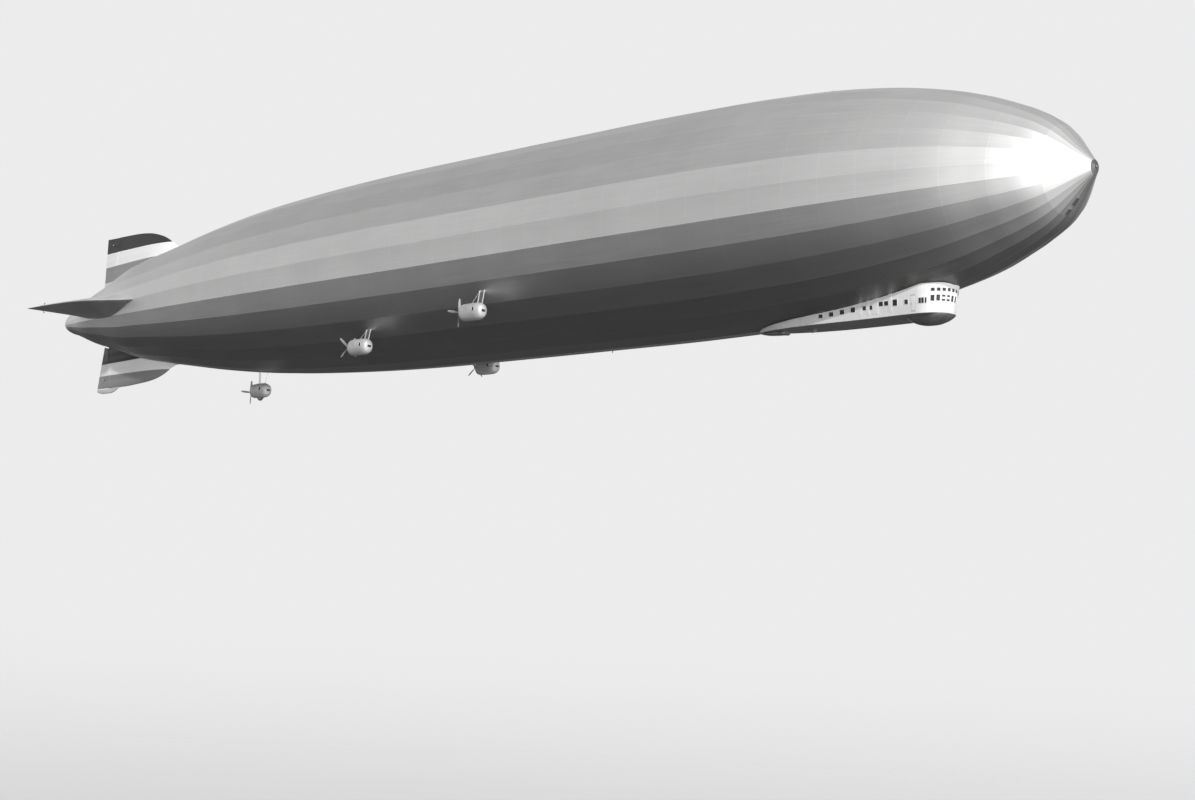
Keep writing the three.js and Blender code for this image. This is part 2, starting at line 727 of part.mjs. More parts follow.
for (const [name, aft, y, z, rest] of ENGINE_CARS) {
  const centre = [aft, y, z];
  add(`car_${name}_shell`, "metal", carShell(centre));
  add(`car_${name}_radiator`, "iron", radiator(centre));
  add(`car_${name}_engine`, "iron", engineBlock(centre));
  add(`car_${name}_mounting`, "metal", mounting(centre));
  add(`propeller_${name}`, "wood", propeller(centre, rest));
}

// Pointed landing buffer under the centre car.
const [, centreAft, , centreZ] = ENGINE_CARS[4];
const BUFFER_TOP = centreZ - CAR_SHELL[2][2] * Math.cos(Math.PI / CAR_SIDES) - GAP / METRE;
add(
  "centre_car_bumper",
  "rubber",
  buffer([
    [centreAft - 0.75, 0.12, BUFFER_TOP, BUFFER_TOP - 0.12],
    [centreAft - 0.3, 0.24, BUFFER_TOP, BUFFER_TOP - 0.5],
    [centreAft + 0.3, 0.24, BUFFER_TOP, BUFFER_TOP - 0.5],
    [centreAft + 0.55, 0.12, BUFFER_TOP, BUFFER_TOP - 0.12],
  ]),
);

export default group;
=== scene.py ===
"""Looks of a rigid airship, a 1:10 scale model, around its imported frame."""

from math import atan, ceil, copysign, cos, pi, radians, sin, sqrt

import bmesh
import bpy
from mathutils import Matrix, Vector


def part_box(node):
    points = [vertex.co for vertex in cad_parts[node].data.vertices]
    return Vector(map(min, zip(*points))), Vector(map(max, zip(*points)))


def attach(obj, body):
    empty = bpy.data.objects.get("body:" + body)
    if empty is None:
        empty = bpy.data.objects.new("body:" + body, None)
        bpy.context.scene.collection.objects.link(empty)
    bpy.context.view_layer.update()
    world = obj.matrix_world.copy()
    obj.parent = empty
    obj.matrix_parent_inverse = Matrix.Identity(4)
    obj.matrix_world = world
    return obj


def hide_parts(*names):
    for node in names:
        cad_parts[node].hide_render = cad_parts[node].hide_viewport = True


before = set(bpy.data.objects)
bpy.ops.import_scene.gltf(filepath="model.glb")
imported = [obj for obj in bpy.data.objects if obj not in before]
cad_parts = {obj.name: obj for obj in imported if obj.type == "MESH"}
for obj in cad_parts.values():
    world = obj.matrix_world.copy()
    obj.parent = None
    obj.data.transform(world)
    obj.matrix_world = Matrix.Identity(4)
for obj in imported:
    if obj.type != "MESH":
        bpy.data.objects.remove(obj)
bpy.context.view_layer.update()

# Envelope skin: cotton doped with aluminium powder, laced in long strips over 28 longitudinal girders
# and drawn tight over a frame every 5 metres. Each strip stays flat across and bows in a little
# between the girders. Lengths here and below are metres of the full-size ship, aft of its nose tip.
SCALE = 0.1
NOSE_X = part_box("nose_cap")[1].x
SIDES = 28
# aft, radius over the longitudinals
HULL = [
    (0, 0.4),
    (1.5, 2.16),
    (4, 5.1),
    (8, 7.66),
    (9.05, 8.15),
    (14, 10.08),
    (22, 12.11),
    (32, 13.63),
    (45, 14.58),
    (60, 15.02),
    (80, 15.17),
    (100, 15.25),
    (120, 15.25),
    (140, 14.8),
    (160, 13.81),
    (175, 12.44),
    (190, 10.63),
    (202, 9.18),
    (213, 6.68),
    (222, 4.74),
    (229, 2.8),
    (234, 1.45),
    (236.6, 0.05),
]
FIRST_FRAME = 9.05  # the hull's lines break at this frame
FRAME_STEP = 5
SAG = 0.018
PANEL_CELLS = 6
CELL = 1.25
NOSE_CELL = 0.45
SKIN = 0.1
TAPE_WIDE = 0.014
LACE_SHARE = 0.035
UNDERSIDE_PAINTED_SHADE = 0.55  # brightness of a painted shade on the underside of the cloth
PAINTED_SHADE_FADE_ANGLES = (0.75, 1.4)  # angles from straight down over which the painted shade fades out
ENVELOPE = [
    ("nose_cap", 0.36, 4),
    ("envelope_bow", 4, 32),
    ("envelope_fore", 32, 80),
    ("envelope_middle", 80, 120),
    ("envelope_aft", 120, 160),
    ("envelope_stern", 160, 202),
    ("envelope_tail", 202, 229),
]


class Wire:
    """The output of a shader node. Sums on it add Math nodes."""

    def __init__(self, nodes, socket):
        self.nodes = nodes
        self.socket = socket

    def __add__(self, other):
        return self.nodes.maths("ADD", self, other)

    def __sub__(self, other):
        return self.nodes.maths("SUBTRACT", self, other)

    def __rsub__(self, other):
        return self.nodes.maths("SUBTRACT", other, self)

    def __mul__(self, other):
        return self.nodes.maths("MULTIPLY", self, other)

    def __truediv__(self, other):
        return self.nodes.maths("DIVIDE", self, other)

    def __rtruediv__(self, other):
        return self.nodes.maths("DIVIDE", other, self)

    def __lt__(self, other):
        return self.nodes.maths("LESS_THAN", self, other)

    def __gt__(self, other):
        return self.nodes.maths("GREATER_THAN", self, other)

    __radd__ = __add__
    __rmul__ = __mul__

    def size(self):
        return self.nodes.maths("ABSOLUTE", self)

    def near(self, step, width):
        """1 in a band of this width round each multiple of step, and 0 elsewhere."""
        return self.nodes.maths("PINGPONG", self, step / 2) < width / 2


class Nodes:
    """The nodes of a material or of the sky, and one method that adds any of them."""

    def __init__(self, tree):
        self.tree = tree

    def set(self, node, sockets):
        for key, value in sockets.items():
            if isinstance(value, Wire):
                self.tree.links.new(value.socket, node.inputs[key])
            else:
                node.inputs[key].default_value = value

    def node(self, kind, settings=None, sockets=None, out=0):
        """Adds a node: its settings, such as a ramp's stops, then the values or links of its sockets."""
        node = self.tree.nodes.new(kind)
        for key, value in (settings or {}).items():
            if key == "stops":
                stops = node.color_ramp.elements
                while len(stops) < len(value):
                    stops.new(0.5)
                for stop, (place, colour) in zip(stops, value):
                    stop.position, stop.color = place, colour
            else:
                setattr(node, key, value)
        self.set(node, sockets or {})
        return Wire(self, node.outputs[out])

    def maths(self, operation, *values):
        return self.node("ShaderNodeMath", {"operation": operation}, dict(enumerate(values)))

    def split(self, vector):
        return [self.node("ShaderNodeSeparateXYZ", sockets={0: vector}, out=axis) for axis in "XYZ"]


class Finish(Nodes):
    """A material, its Principled shader and the place on the piece at rest, in metres of the model."""

    def __init__(self, name, slot, **fixed):
        self.material = bpy.data.materials.new(name)
        self.material.use_nodes = True
        super().__init__(self.material.node_tree)
        self.slot = slot
        self.shader = self.tree.nodes["Principled BSDF"]
        self.set(self.shader, {key.replace("_", " "): value for key, value in fixed.items()})
        self.spot = self.split(self.node("ShaderNodeTexCoord", out="Object"))

    def vector(self, x, y, z):
        return self.node("ShaderNodeCombineXYZ", sockets={0: x, 1: y, 2: z})

    def noise(self, where, scale, detail):
        return self.node("ShaderNodeTexNoise", sockets={"Vector": where, "Scale": scale, "Detail": detail})

    def grain(self, scale, detail=2.0, finer=(1, 1, 1)):
        """Noise over the piece, this many times finer along each axis."""
        where = [axis if times == 1 else axis * times for axis, times in zip(self.spot, finer)]
        return self.noise(self.vector(*where), scale, detail)

    def ramp(self, value, low, high):
        """0 below low, 1 above high and smooth between."""
        sockets = {"Value": value, "From Min": low, "From Max": high}
        return self.node("ShaderNodeMapRange", {"interpolation_type": "SMOOTHSTEP"}, sockets)

    def blend(self, share, first, second):
        return self.node("ShaderNodeMix", {"data_type": "RGBA"}, {0: share, 6: first, 7: second}, out=2)

    def tinted(self, colour, tone):
        return self.node("ShaderNodeVectorMath", {"operation": "SCALE"}, {0: colour, "Scale": tone})

    def coat(self, colour, roughness=None, height=None, distance=0.001, **more):
        """Feeds the shader with what changes over the surface."""
        fed = {"Base Color": colour}
        if roughness is not None:
            fed["Roughness"] = roughness
        if height is not None:
            fed["Normal"] = self.node("ShaderNodeBump", sockets={"Height": height, "Distance": distance})
        self.set(self.shader, fed | {key.replace("_", " "): value for key, value in more.items()})
        return self


def at(aft, y, z):
    """A point of the ship in the frame of the model."""
    return Vector((NOSE_X - aft * SCALE, y * SCALE, z * SCALE))


def fair(table, aft, column=1, kink=None):
    """A fair curve through a column of a table, with a break at the row where aft is kink."""
    last = len(table) - 1
    upper = max(next((i for i, row in enumerate(table) if row[0] >= aft), last), 1)
    (x0, r0), (x1, r1) = ((table[i][0], table[i][column]) for i in (upper - 1, upper))
    chord = (r1 - r0) / (x1 - x0)

    def slope(index):
        if index in (0, last) or table[index][0] == kink:
            return chord
        (xa, ra), (xb, rb), (xc, rc) = ((row[0], row[column]) for row in table[index - 1 : index + 2])
        before, after = (rb - ra) / (xb - xa), (rc - rb) / (xc - xb)
        return (before * (xc - xb) + after * (xb - xa)) / (xc - xa)

    t = (aft - x0) / (x1 - x0)
    start, end = slope(upper - 1) * (x1 - x0), slope(upper) * (x1 - x0)
    return (
        (2 * t**3 - 3 * t**2 + 1) * r0
        + (t**3 - 2 * t**2 + t) * start
        + (3 * t**2 - 2 * t**3) * r1
        + (t**3 - t**2) * end
    )


def hull_radius(aft):
    return fair(HULL, aft, kink=FIRST_FRAME)


def skin_point(aft, cell, inset=0.0):
    """A point of the skin, where cell counts mesh cells round the hull from straight down."""
    side = 2 * pi / SIDES
    panel, inside = divmod(cell, PANEL_CELLS)
    share = inside / PANEL_CELLS
    angle = (panel + share) * side
    flat = cos(side / 2) / cos((share - 0.5) * side)
    bay = sin(pi * (((aft - FIRST_FRAME) / FRAME_STEP) % 1))
    radius = hull_radius(aft)
    sag = SAG * min(radius / 8, 1) * sin(pi * share) * (0.55 + 0.45 * bay)
    radius = radius * flat - sag - inset
    return at(aft, radius * sin(angle), -radius * cos(angle))


def spread(first, last, count):
    """Evenly spaced values with both ends and count steps."""
    return [first + (last - first) * i / count for i in range(count + 1)]


def tube_faces(rows, columns, closed_rows=False):
    """Faces between rows of points that close on themselves."""
    last = rows if closed_rows else rows - 1
    return [
        (
            row * columns + column,
            row * columns + (column + 1) % columns,
            (row + 1) % rows * columns + (column + 1) % columns,
            (row + 1) % rows * columns + column,
        )
        for row in range(last)
        for column in range(columns)
    ]


def mesh_of(name, shape):
    mesh = bpy.data.meshes.new(name)
    mesh.from_pydata(shape[0], [], shape[1])
    work = bmesh.new()
    work.from_mesh(mesh)
    bmesh.ops.remove_doubles(work, verts=work.verts, dist=1e-6)
    bmesh.ops.recalc_face_normals(work, faces=work.faces)
    work.to_mesh(mesh)
    work.free()
    return mesh


def placed(name, data):
    """A new object in the scene."""
    made = bpy.data.objects.new(name, data)
    bpy.context.scene.collection.objects.link(made)
    return made


def cut_out(made, shape):
    """Takes a shape away from an object's mesh."""
    cutter = placed(made.name + "_cutter", mesh_of(made.name + "_cutter", shape))
    change = made.modifiers.new("cut", "BOOLEAN")
    change.operation = "DIFFERENCE"
    change.object = cutter
    made.data = bpy.data.meshes.new_from_object(made.evaluated_get(bpy.context.evaluated_depsgraph_get()))
    made.modifiers.clear()
    bpy.data.objects.remove(cutter)


def piece(name, shape, finish, body="hull", nodes=(), sharp=35, cuts=()):
    """A mesh that rides on a body, stands for the CAD nodes given and has its edges kept crisp."""
    made = placed(name, mesh_of(name, shape))
    made.data.materials.append(finish.material)
    for cut in cuts:
        cut_out(made, cut)
    made.data.shade_smooth()
    made.data.set_sharp_from_angle(angle=radians(sharp))
    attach(made, body)
    if nodes:
        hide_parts(*nodes)
    return made


def doped_cloth(name, slot, tint=0.8):
    """Aluminium dope over cotton: satin, with tape over the laces, faint brush marks and a painted shade that
    darkens the underside.
    """
    made = Finish(name, slot, Metallic=1.0)
    x, y, z = made.spot
    turn = made.maths("ARCTAN2", y, z * -1)
    strip = turn * (SIDES / (2 * pi))
    tape = (x - (NOSE_X - FIRST_FRAME * SCALE)).near(FRAME_STEP * SCALE, TAPE_WIDE)
    lace = strip.near(1, LACE_SHARE)
    brush = made.noise(made.vector(x * 0.35, turn * 16, 0), 3.0, 4.0)
    cloud = made.grain(1.6, 3.0, (0.6, 1, 1))
    fleck = made.grain(320.0)
    tone = brush * 0.12 + cloud * 0.16 + fleck * 0.08 + (tape + lace) * 0.04 + 0.82
    # painted shade: the cloth darkens towards straight down, in place of the shadow under the hull
    above_bottom = made.ramp(turn.size(), *PAINTED_SHADE_FADE_ANGLES)
    colour = made.tinted((tint, tint, tint * 0.995), tone * (above_bottom * (1 - UNDERSIDE_PAINTED_SHADE) + UNDERSIDE_PAINTED_SHADE))
    height = fleck * 0.4 + cloud * 0.5 + (tape + lace) * 0.25
    return made.coat(colour, roughness=brush * 0.08 + 0.42, height=height, distance=0.0006)


hull_cloth = doped_cloth("doped_cloth", "doped_fabric")
nose_cloth = doped_cloth("nose_cloth", "nose_metal", 0.84)
for name, front, rear in ENVELOPE:
    ends = [front, FIRST_FRAME, rear] if front < FIRST_FRAME < rear else [front, rear]
    stations = [front]
    for start, end in zip(ends, ends[1:]):
        count = ceil((end - start) / (NOSE_CELL if end <= FIRST_FRAME else CELL))
        stations += spread(start, end, count)[1:]
    around = SIDES * PANEL_CELLS
    outside = [skin_point(aft, cell) for aft in stations for cell in range(around)]
    inside = [skin_point(aft, cell, SKIN) for aft in (rear, front) for cell in range(around)]
    shape = outside + inside, tube_faces(len(stations) + 2, around, closed_rows=True)
    cloth = nose_cloth if name == "nose_cap" else hull_cloth
    piece(name + "_skin", shape, cloth, nodes=[name], sharp=5)

# Nose: the fabric ends on a steel mooring cone with a short spindle. Under it two hatches on the centre
# line, hinged plates in riveted rims, let the mooring ropes out.
CONE = [(0, 0.15), (0.04, 0.2), (0.16, 0.22), (0.2, 0.34)]
CONE += [(0.3, 0.62), (0.34, 0.8), (0.42, 0.86), (0.44, 0.8)]


def grey(value):
    return (value, value, value, 1)


def mottled(name, slot, dark, light, *noise, rough=None, uneven=False, **fixed):
    """A finish that one noise takes from dark to light; rough is the least roughness and what it adds."""
    made = Finish(name, slot, **fixed)
    patches = made.grain(*noise)
    roughness = rough and patches * rough[1] + rough[0]
    return made.coat(made.blend(patches, dark, light), roughness, patches if uneven else None)


def circle(count):
    """Angles evenly round a circle."""
    return [2 * pi * i / count for i in range(count)]


def loft(rings, rear=True):
    """Points and faces of a body through rings of points, shut in front and, if asked, at the rear."""
    count = len(rings[0])
    faces = tube_faces(len(rings), count) + [tuple(range(count))]
    if rear:
        faces.append(tuple(range((len(rings) - 1) * count, len(rings) * count)))
    return [point for ring in rings for point in ring], faces


def turned(profile, start=0.0, y=0.0, z=0.0, sides=48):
    """A body turned about a line along the ship, through rows of distance aft of the start and radius."""
    spokes = [(sin(t), cos(t)) for t in circle(sides)]
    return loft([[at(start + aft, y + r * a, z + r * b) for a, b in spokes] for aft, r in profile])


look = {"rough": (0.35, 0.3), "uneven": True, "Metallic": 1.0}
steel = mottled("blued_steel", "nose_metal", grey(0.15), grey(0.25), 60.0, 4.0, **look)
piece("mooring_cone", turned(CONE), steel)
PATCH_SINK = 0.05


def together(*shapes):
    points, faces = [], []
    for own_points, own_faces in shapes:
        faces += [tuple(len(points) + corner for corner in face) for face in own_faces]
        points += own_points
    return points, faces


def patch(front, rear, left, right, lift):
    """A thin plate that follows the skin between two stations, cells as in skin_point."""
    rings = []
    cells = spread(left, right, 4)
    for aft in spread(front, rear, 4):
        outer = [skin_point(aft, cell, -lift) for cell in cells]
        rings.append(outer + [skin_point(aft, cell, PATCH_SINK) for cell in reversed(cells)])
    return loft(rings)


HATCHES = [(2.4, 3.0, 2.4), (3.35, 3.85, 1.7)]  # front aft, rear aft, half width in cells
RIM, RIM_CELLS = 0.08, 0.4
RIM_LIFT, PLATE_LIFT = 0.03, 0.055
rims, plates = [], []
for front, rear, half in HATCHES:
    rims.append(patch(front - RIM, rear + RIM, -half - RIM_CELLS, half + RIM_CELLS, RIM_LIFT))
    plates.append(patch(front, rear, -half, half, PLATE_LIFT))
piece("rope_hatch_rims", together(*rims), nose_cloth)
piece("rope_hatch_plates", together(*plates), steel)

# Tail cap: the last frames draw in to a light alloy cone under the same doped cloth. A lamp of frosted
# glass is screwed to its point.
TAIL_RINGS = [229, 230, 231, 232.2, 233.2, 234, 235, 235.8, 236.3]
tail_cloth = doped_cloth("tail_cloth", "tail_fabric")
rings = [[skin_point(aft, cell) for cell in range(SIDES * PANEL_CELLS)] for aft in TAIL_RINGS]
piece("tail_cap_skin", loft(rings), tail_cloth, nodes=["tail_cap"], sharp=5)
lamp_glass = mottled("lamp_glass", "tail_fabric", grey(0.5), grey(0.7), 90.0, Roughness=0.12)
LAMP = [(236.2, 0.2), (236.35, 0.2), (236.5, 0.16), (236.58, 0.06)]
piece("tail_lamp", turned(LAMP), lamp_glass)

# Crown: hoods of sheet metal over the shafts through which the cells let gas out. They stand in pairs
# along the top girder, and each is riveted down by a flange.
HOODS_AFT = range(38, 183, 16)
HOOD_SIDE = 0.9
HOOD_SINK = 0.2
# a hood and its flange: half length, half width, height over the hull, worn edge
HOOD = [(0.7, 0.35, 0.24, 0.12), (0.85, 0.5, 0.04, 0.02)]
AXES = (Vector((1, 0, 0)), Vector((0, 1, 0)), Vector((0, 0, 1)))


def slab(centre, size, axes=AXES, edge=0.02):
    """A box with worn edges round a point: its sizes along the three axes are metres of the ship."""
    along, across, up = axes
    length, width, height = (side * SCALE / 2 for side in size)
    worn = min(edge * SCALE, length / 2, width / 2, height / 2)
    rings = []
    for x, inset in ((-length, worn), (worn - length, 0), (length - worn, 0), (length, worn)):
        wide, high = width - inset, height - inset
        low_y, low_z = wide - worn, high - worn
        profile = [(-low_y, -high), (low_y, -high), (wide, -low_z), (wide, low_z)]
        profile += [(-y, -z) for y, z in profile]
        rings.append([centre + along * x + across * y + up * z for y, z in profile])
    return loft(rings)


def block(low, high, edge=0.02):
    """A box with worn edges between two corners given as aft, y and z."""
    middle = at(*((a + b) / 2 for a, b in zip(low, high)))
    return slab(middle, [abs(b - a) for a, b in zip(low, high)], edge=edge)


look = {"rough": (0.35, 0.2), "uneven": True, "Metallic": 1.0}
hood_metal = mottled("hood_metal", "doped_fabric", grey(0.5), grey(0.62), 30.0, 3.0, **look)
hoods = []
for aft in HOODS_AFT:
    top = hull_radius(aft)
    for side in (-HOOD_SIDE, HOOD_SIDE):
        for long, wide, high, edge in HOOD:
            low = (aft - long, side - wide, top - HOOD_SINK)
            hoods.append(block(low, (aft + long, side + wide, top + high), edge))
piece("crown_hoods", together(*hoods), hood_metal)

# Fins: duralumin frames under doped fabric, thick at the hull and thin at the tip, with a hollow rear
# edge for the rudder's nose. Rudders and elevators turn on pins in lugs.
HINGE = 217
SURFACE_ROOT = 6.15
SURFACE_FALL = 0.213
NOSE_ROOT = 0.85
NOSE_TIP = 0.12
COVE_CLEAR = 0.08
LIP = 0.09
TIP_HALF = 0.17
TIP_EDGE = 0.4
TIP_GAP = 0.05
TIP_RISE = 0.0106
TRAILING_HALF = 0.04
TRAILING_EDGE = 0.25
FIN_SINK = 0.25  # depth of a fin's root in the hull
FIN_ROWS, FIN_COLUMNS, COVE_STEPS = 26, 60, 8
COVE_AHEAD = 0.5  # where the cove's edges are, as a share of the nose's radius ahead of the hinge
# aft, height of the tip, half thickness at the hull
FIN = [
    (191.6, 10.45, 0.3),
    (193.6, 10.95, 0.58),
    (195.4, 11.8, 1.02),
    (197.2, 12.6, 1.45),
    (199.9, 13.82, 1.9),
    (202.1, 14.47, 2.1),
    (204.2, 14.95, 2.08),
    (207.5, 15.36, 1.9),
    (210.4, 15.52, 1.66),
    (213.4, 15.57, 1.34),
    (217, 15.6, 0.93),
]
LOWER_FIN = [
    (191.6, 10.4, 0.3),
    (193.6, 10.55, 0.58),
    (194.8, 10.95, 0.86),
    (196.3, 11.63, 1.24),
    (198.2, 12.24, 1.65),
    (200.1, 12.65, 1.93),
    (202.1, 12.92, 2.1),
    (206.2, 13.22, 1.98),
    (210.3, 13.45, 1.67),
    (213.2, 13.5, 1.36),
    (217, 13.5, 0.93),
]
# fin, its moving surface, outline, lug heights, aft of the trailing edge inside and outside, how a height
# above the axis and a distance to one side become y and z
FINS = [
    ("fin_upper", "rudder_upper", FIN, (9, 14), 221.7, 221.7, lambda side, high: (side, high)),
    ("fin_lower", "rudder_lower", LOWER_FIN, (8, 12.3), 219.9, 221.5, lambda side, high: (-side, -high)),
    ("fin_port", "elevator_port", FIN, (9, 14), 221.7, 221.7, lambda side, high: (high, -side)),
    ("fin_starboard", "elevator_starboard", FIN, (9, 14), 221.7, 221.7, lambda side, high: (-high, side)),
]


def nose_at(height, tip):
    return NOSE_ROOT + (NOSE_TIP - NOSE_ROOT) * (height - SURFACE_ROOT) / (tip - SURFACE_ROOT)


def rounding(below, edge):
    """How much of the full thickness is left this far below a rounded edge."""
    return sqrt(1 - (1 - min(max(below, 0) / edge, 1)) ** 2)


def fin_shape(outline, turn):
    tip = outline[-1][1]
    rings = []
    for aft in spread(outline[0][0], HINGE, FIN_COLUMNS):
        low, high = hull_radius(aft) - FIN_SINK, fair(outline, aft)
        port, starboard = [], []
        for t in spread(0, pi / 2, FIN_ROWS):
            height = low + (high - low) * sin(t)
            share = min((height - low) / max(high - low, 1), 1)
            half = fair(outline, aft, 2) * (1 - share) + TIP_HALF * share
            station = aft
            if aft == HINGE:
                half = nose_at(height, tip) + LIP
                station = HINGE - COVE_AHEAD * nose_at(height, tip)
            half *= rounding(high - height, TIP_EDGE)
            port.append((station, half, height))
            starboard.append((station, -half, height))
        rings.append(port + starboard[::-1])
    hollow = []
    for station, half, height in rings[-1][: FIN_ROWS + 1]:
        nose = nose_at(height, tip)
        for t in spread(0, pi, COVE_STEPS):
            side = half * cos(t)
            ahead = sqrt(max((nose + COVE_CLEAR) ** 2 - side**2, 0))
            hollow.append((HINGE - max(ahead, COVE_AHEAD * nose), side, height))
    wide = COVE_STEPS + 1
    corners = [row * wide + column for row in range(FIN_ROWS) for column in range(COVE_STEPS)]
    grid = [(corner, corner + 1, corner + 1 + wide, corner + wide) for corner in corners]
    points, faces = loft(rings, rear=False)
    skin, cove = ([at(aft, *turn(side, height)) for aft, side, height in own] for own in (points, hollow))
    return together((skin, faces), (cove, grid + [tuple(range(wide))]))


# rows of a rudder as shares of its height, and points of its sides as shares of its length
RUDDER_ROWS = [0, 0.15, 0.3, 0.45, 0.6, 0.75, 0.88, 0.95, 0.975, 0.99, 1]
RUDDER_SIDE = [0.12, 0.3, 0.5, 0.7, 0.88, 1]


def rudder_shape(tip, inner, outer, turn):
    rings = []
    for share in RUDDER_ROWS:
        nose = NOSE_ROOT + (NOSE_TIP - NOSE_ROOT) * share
        trailing = inner + (outer - inner) * share
        thin = rounding((1 - share) * (tip - SURFACE_ROOT), TRAILING_EDGE)
        outline = [(HINGE - nose * sin(t), nose * cos(t)) for t in spread(0, pi, 16)]
        sides = [(HINGE + (trailing - HINGE) * b, nose * (1 - b) + TRAILING_HALF * b) for b in RUDDER_SIDE]
        outline += [(aft, -half) for aft, half in sides] + sides[::-1]
        ring = []
        for aft, side in outline:
            low = SURFACE_ROOT - SURFACE_FALL * (aft - HINGE)
            high = tip - TIP_GAP + TIP_RISE * (aft - HINGE)
            ring.append(at(aft, *turn(side * max(thin, 0.05), low + (high - low) * share)))
        rings.append(ring)
    return loft(rings)


RIB_STEP = 0.14
SPAR_STEP = 0.21
# heights over and under the hull's axis at which the painted bands meet, from the inside out
UPPER_BANDS = (0.7, 1.0, 1.27)
LOWER_BANDS = (-0.89, -1.11)


def fin_cloth(name, striped):
    """Doped cloth over ribs; the upright fins carry broad painted bands, the same on both sides, and the
    level fins a painted shade on their undersides.
    """
    made = Finish(name, "fin_fabric")
    x, y, z = made.spot
    out = z.size() if striped else y.size()
    seams = out.near(RIB_STEP, 0.006) + x.near(SPAR_STEP, 0.006)
    cloud = made.grain(2.2, 3.0)
    fleck = made.grain(300.0)
    shade = cloud * 0.3 + 0.85
    # painted shade: the level fins' undersides are darker than their tops
    if not striped:
        shade = shade * ((z > 0) * (1 - UNDERSIDE_PAINTED_SHADE) + UNDERSIDE_PAINTED_SHADE)
    height = fleck * 0.3 + seams * 0.5 + made.maths("COSINE", out * (2 * pi / RIB_STEP)) * 1.2
    feel = {"roughness": cloud * 0.1 + 0.42, "height": height, "distance": 0.0012}
    silver = made.tinted((0.8, 0.8, 0.797), shade)
    if not striped:
        return made.coat(silver, Metallic=0.85, **feel)
    black, white, dull = grey(0.022), grey(0.68), grey(0.21)
    above, below = silver, black
    for height, paint in zip(UPPER_BANDS, (dull, white, black)):
        above = made.blend(z > height, above, paint)
    for height, paint in zip(LOWER_BANDS, (white, dull)):
        below = made.blend(z < height, below, paint)
    bare = (z > 0) * (z < UPPER_BANDS[0])
    return made.coat(made.blend(z > 0, below, above), Metallic=bare * 0.85, **feel)


striped_cloth = fin_cloth("striped_cloth", True)
plain_cloth = fin_cloth("plain_cloth", False)
lug_steel = mottled("lug_steel", "fin_fabric", grey(0.12), grey(0.2), 80.0, Metallic=1.0, Roughness=0.4)


def rod(start, end, radius, tip=None, sides=10):
    """A round rod or cone between two points, with radii in metres of the ship."""
    axis = (end - start).normalized()
    side = axis.orthogonal().normalized()
    other = axis.cross(side)
    rings = []
    for centre, size in ((start, radius), (end, radius if tip is None else tip)):
        spokes = [side * cos(t) + other * sin(t) for t in circle(sides)]
        rings.append([centre + spoke * size * SCALE for spoke in spokes])
    return loft(rings)


def upright(middle, size, turn):
    """A block on a fin from its middle as aft, side and height, with its size in the same order."""
    (aft, side, height), (long, wide, tall) = middle, size
    low, high = turn(side - wide / 2, height - tall / 2), turn(side + wide / 2, height + tall / 2)
    return block((aft - long / 2, *map(min, low, high)), (aft + long / 2, *map(max, low, high)))


# a lug and the notch round it: length behind the hinge, length ahead of the nose, width, height
LUG = (0.12, 0.2, 0.18, 0.22)
NOTCH = (0.22, 0, 1.0, 0.34)
PIN, PIN_HALF = 0.05, 0.25
# points of the arm that the control cables pull: behind the hinge, to the side, radius of its end there
ARM = [(1.6, 0.1, 0.06), (1.3, 0.7, 0.05), (0.9, 0.95, 0.07)]
ARM_THICK = 0.06
ARM_BELOW_TIP = 1.6
for fin, surface, outline, lugs, inner, outer, turn in FINS:
    tip = outline[-1][1]
    cloth = striped_cloth if surface.startswith("rudder") else plain_cloth
    piece(fin + "_skin", fin_shape(outline, turn), cloth, nodes=[fin], sharp=28)
    notches, plates, pins = [], [], []
    for height in lugs:
        for made, (behind, ahead, wide, tall) in ((notches, NOTCH), (plates, LUG)):
            ahead += nose_at(height, tip) + 0.1
            middle = (HINGE + (behind - ahead) / 2, 0, height)
            made.append(upright(middle, (ahead + behind, wide, tall), turn))
        pins.append(rod(*(at(HINGE, *turn(0, height + end)) for end in (-PIN_HALF, PIN_HALF)), PIN))
    shape = rudder_shape(tip, inner, outer, turn)
    piece(surface + "_skin", shape, cloth, body=surface, nodes=[surface], cuts=[together(*notches)])
    piece(fin + "_lugs", together(*plates), lug_steel)
    levers = []
    for side in (-1, 1):
        arm = [at(HINGE + behind, *turn(side * across, tip - ARM_BELOW_TIP)) for behind, across, _ in ARM]
        levers += [rod(arm[i], arm[i + 1], ARM_THICK, ARM[i + 1][2]) for i in (0, 1)]
    piece(surface + "_fittings", together(*pins, *levers), lug_steel, body=surface)

# Buffer under the lower fin: a padded skid covered in pale canvas, which meets the ground first. It is
# laced to the fin's foot and hangs below the rudder.
# aft, half width, depth of its top and of its foot
FIN_BUFFER = [
    (213.2, 0.1, 13.42, 13.6),
    (213.7, 0.16, 13.42, 13.7),
    (214.3, 0.2, 13.45, 13.9),
    (215, 0.23, 13.45, 14.2),
    (215.7, 0.25, 13.48, 14.39),
    (216.5, 0.26, 13.52, 14.46),
    (218.5, 0.27, 13.62, 14.48),
    (219.8, 0.26, 13.62, 14.47),
    (220.7, 0.23, 13.63, 14.28),
    (221.3, 0.18, 13.66, 14.08),
    (221.45, 0.1, 13.7, 13.98),
]
BOLSTER_RINGS, BOLSTER_POINTS = 24, 20


def fuller(value, power):
    """A sine or cosine raised so that an ellipse swells towards a box."""
    return copysign(abs(value) ** power, value)


def bolster(table):
    """A padded body along the keel through the rows of a table."""
    rings = []
    for aft in spread(table[0][0], table[-1][0], BOLSTER_RINGS):
        half, top, foot = (fair(table, aft, column) for column in (1, 2, 3))
        ring = []
        for angle in circle(BOLSTER_POINTS):
            wide = fuller(cos(angle), 0.7) * half
            high = fuller(sin(angle), 0.8) * (foot - top) / 2
            ring.append(at(aft, wide, -(top + foot) / 2 - high))
        rings.append(ring)
    return loft(rings)


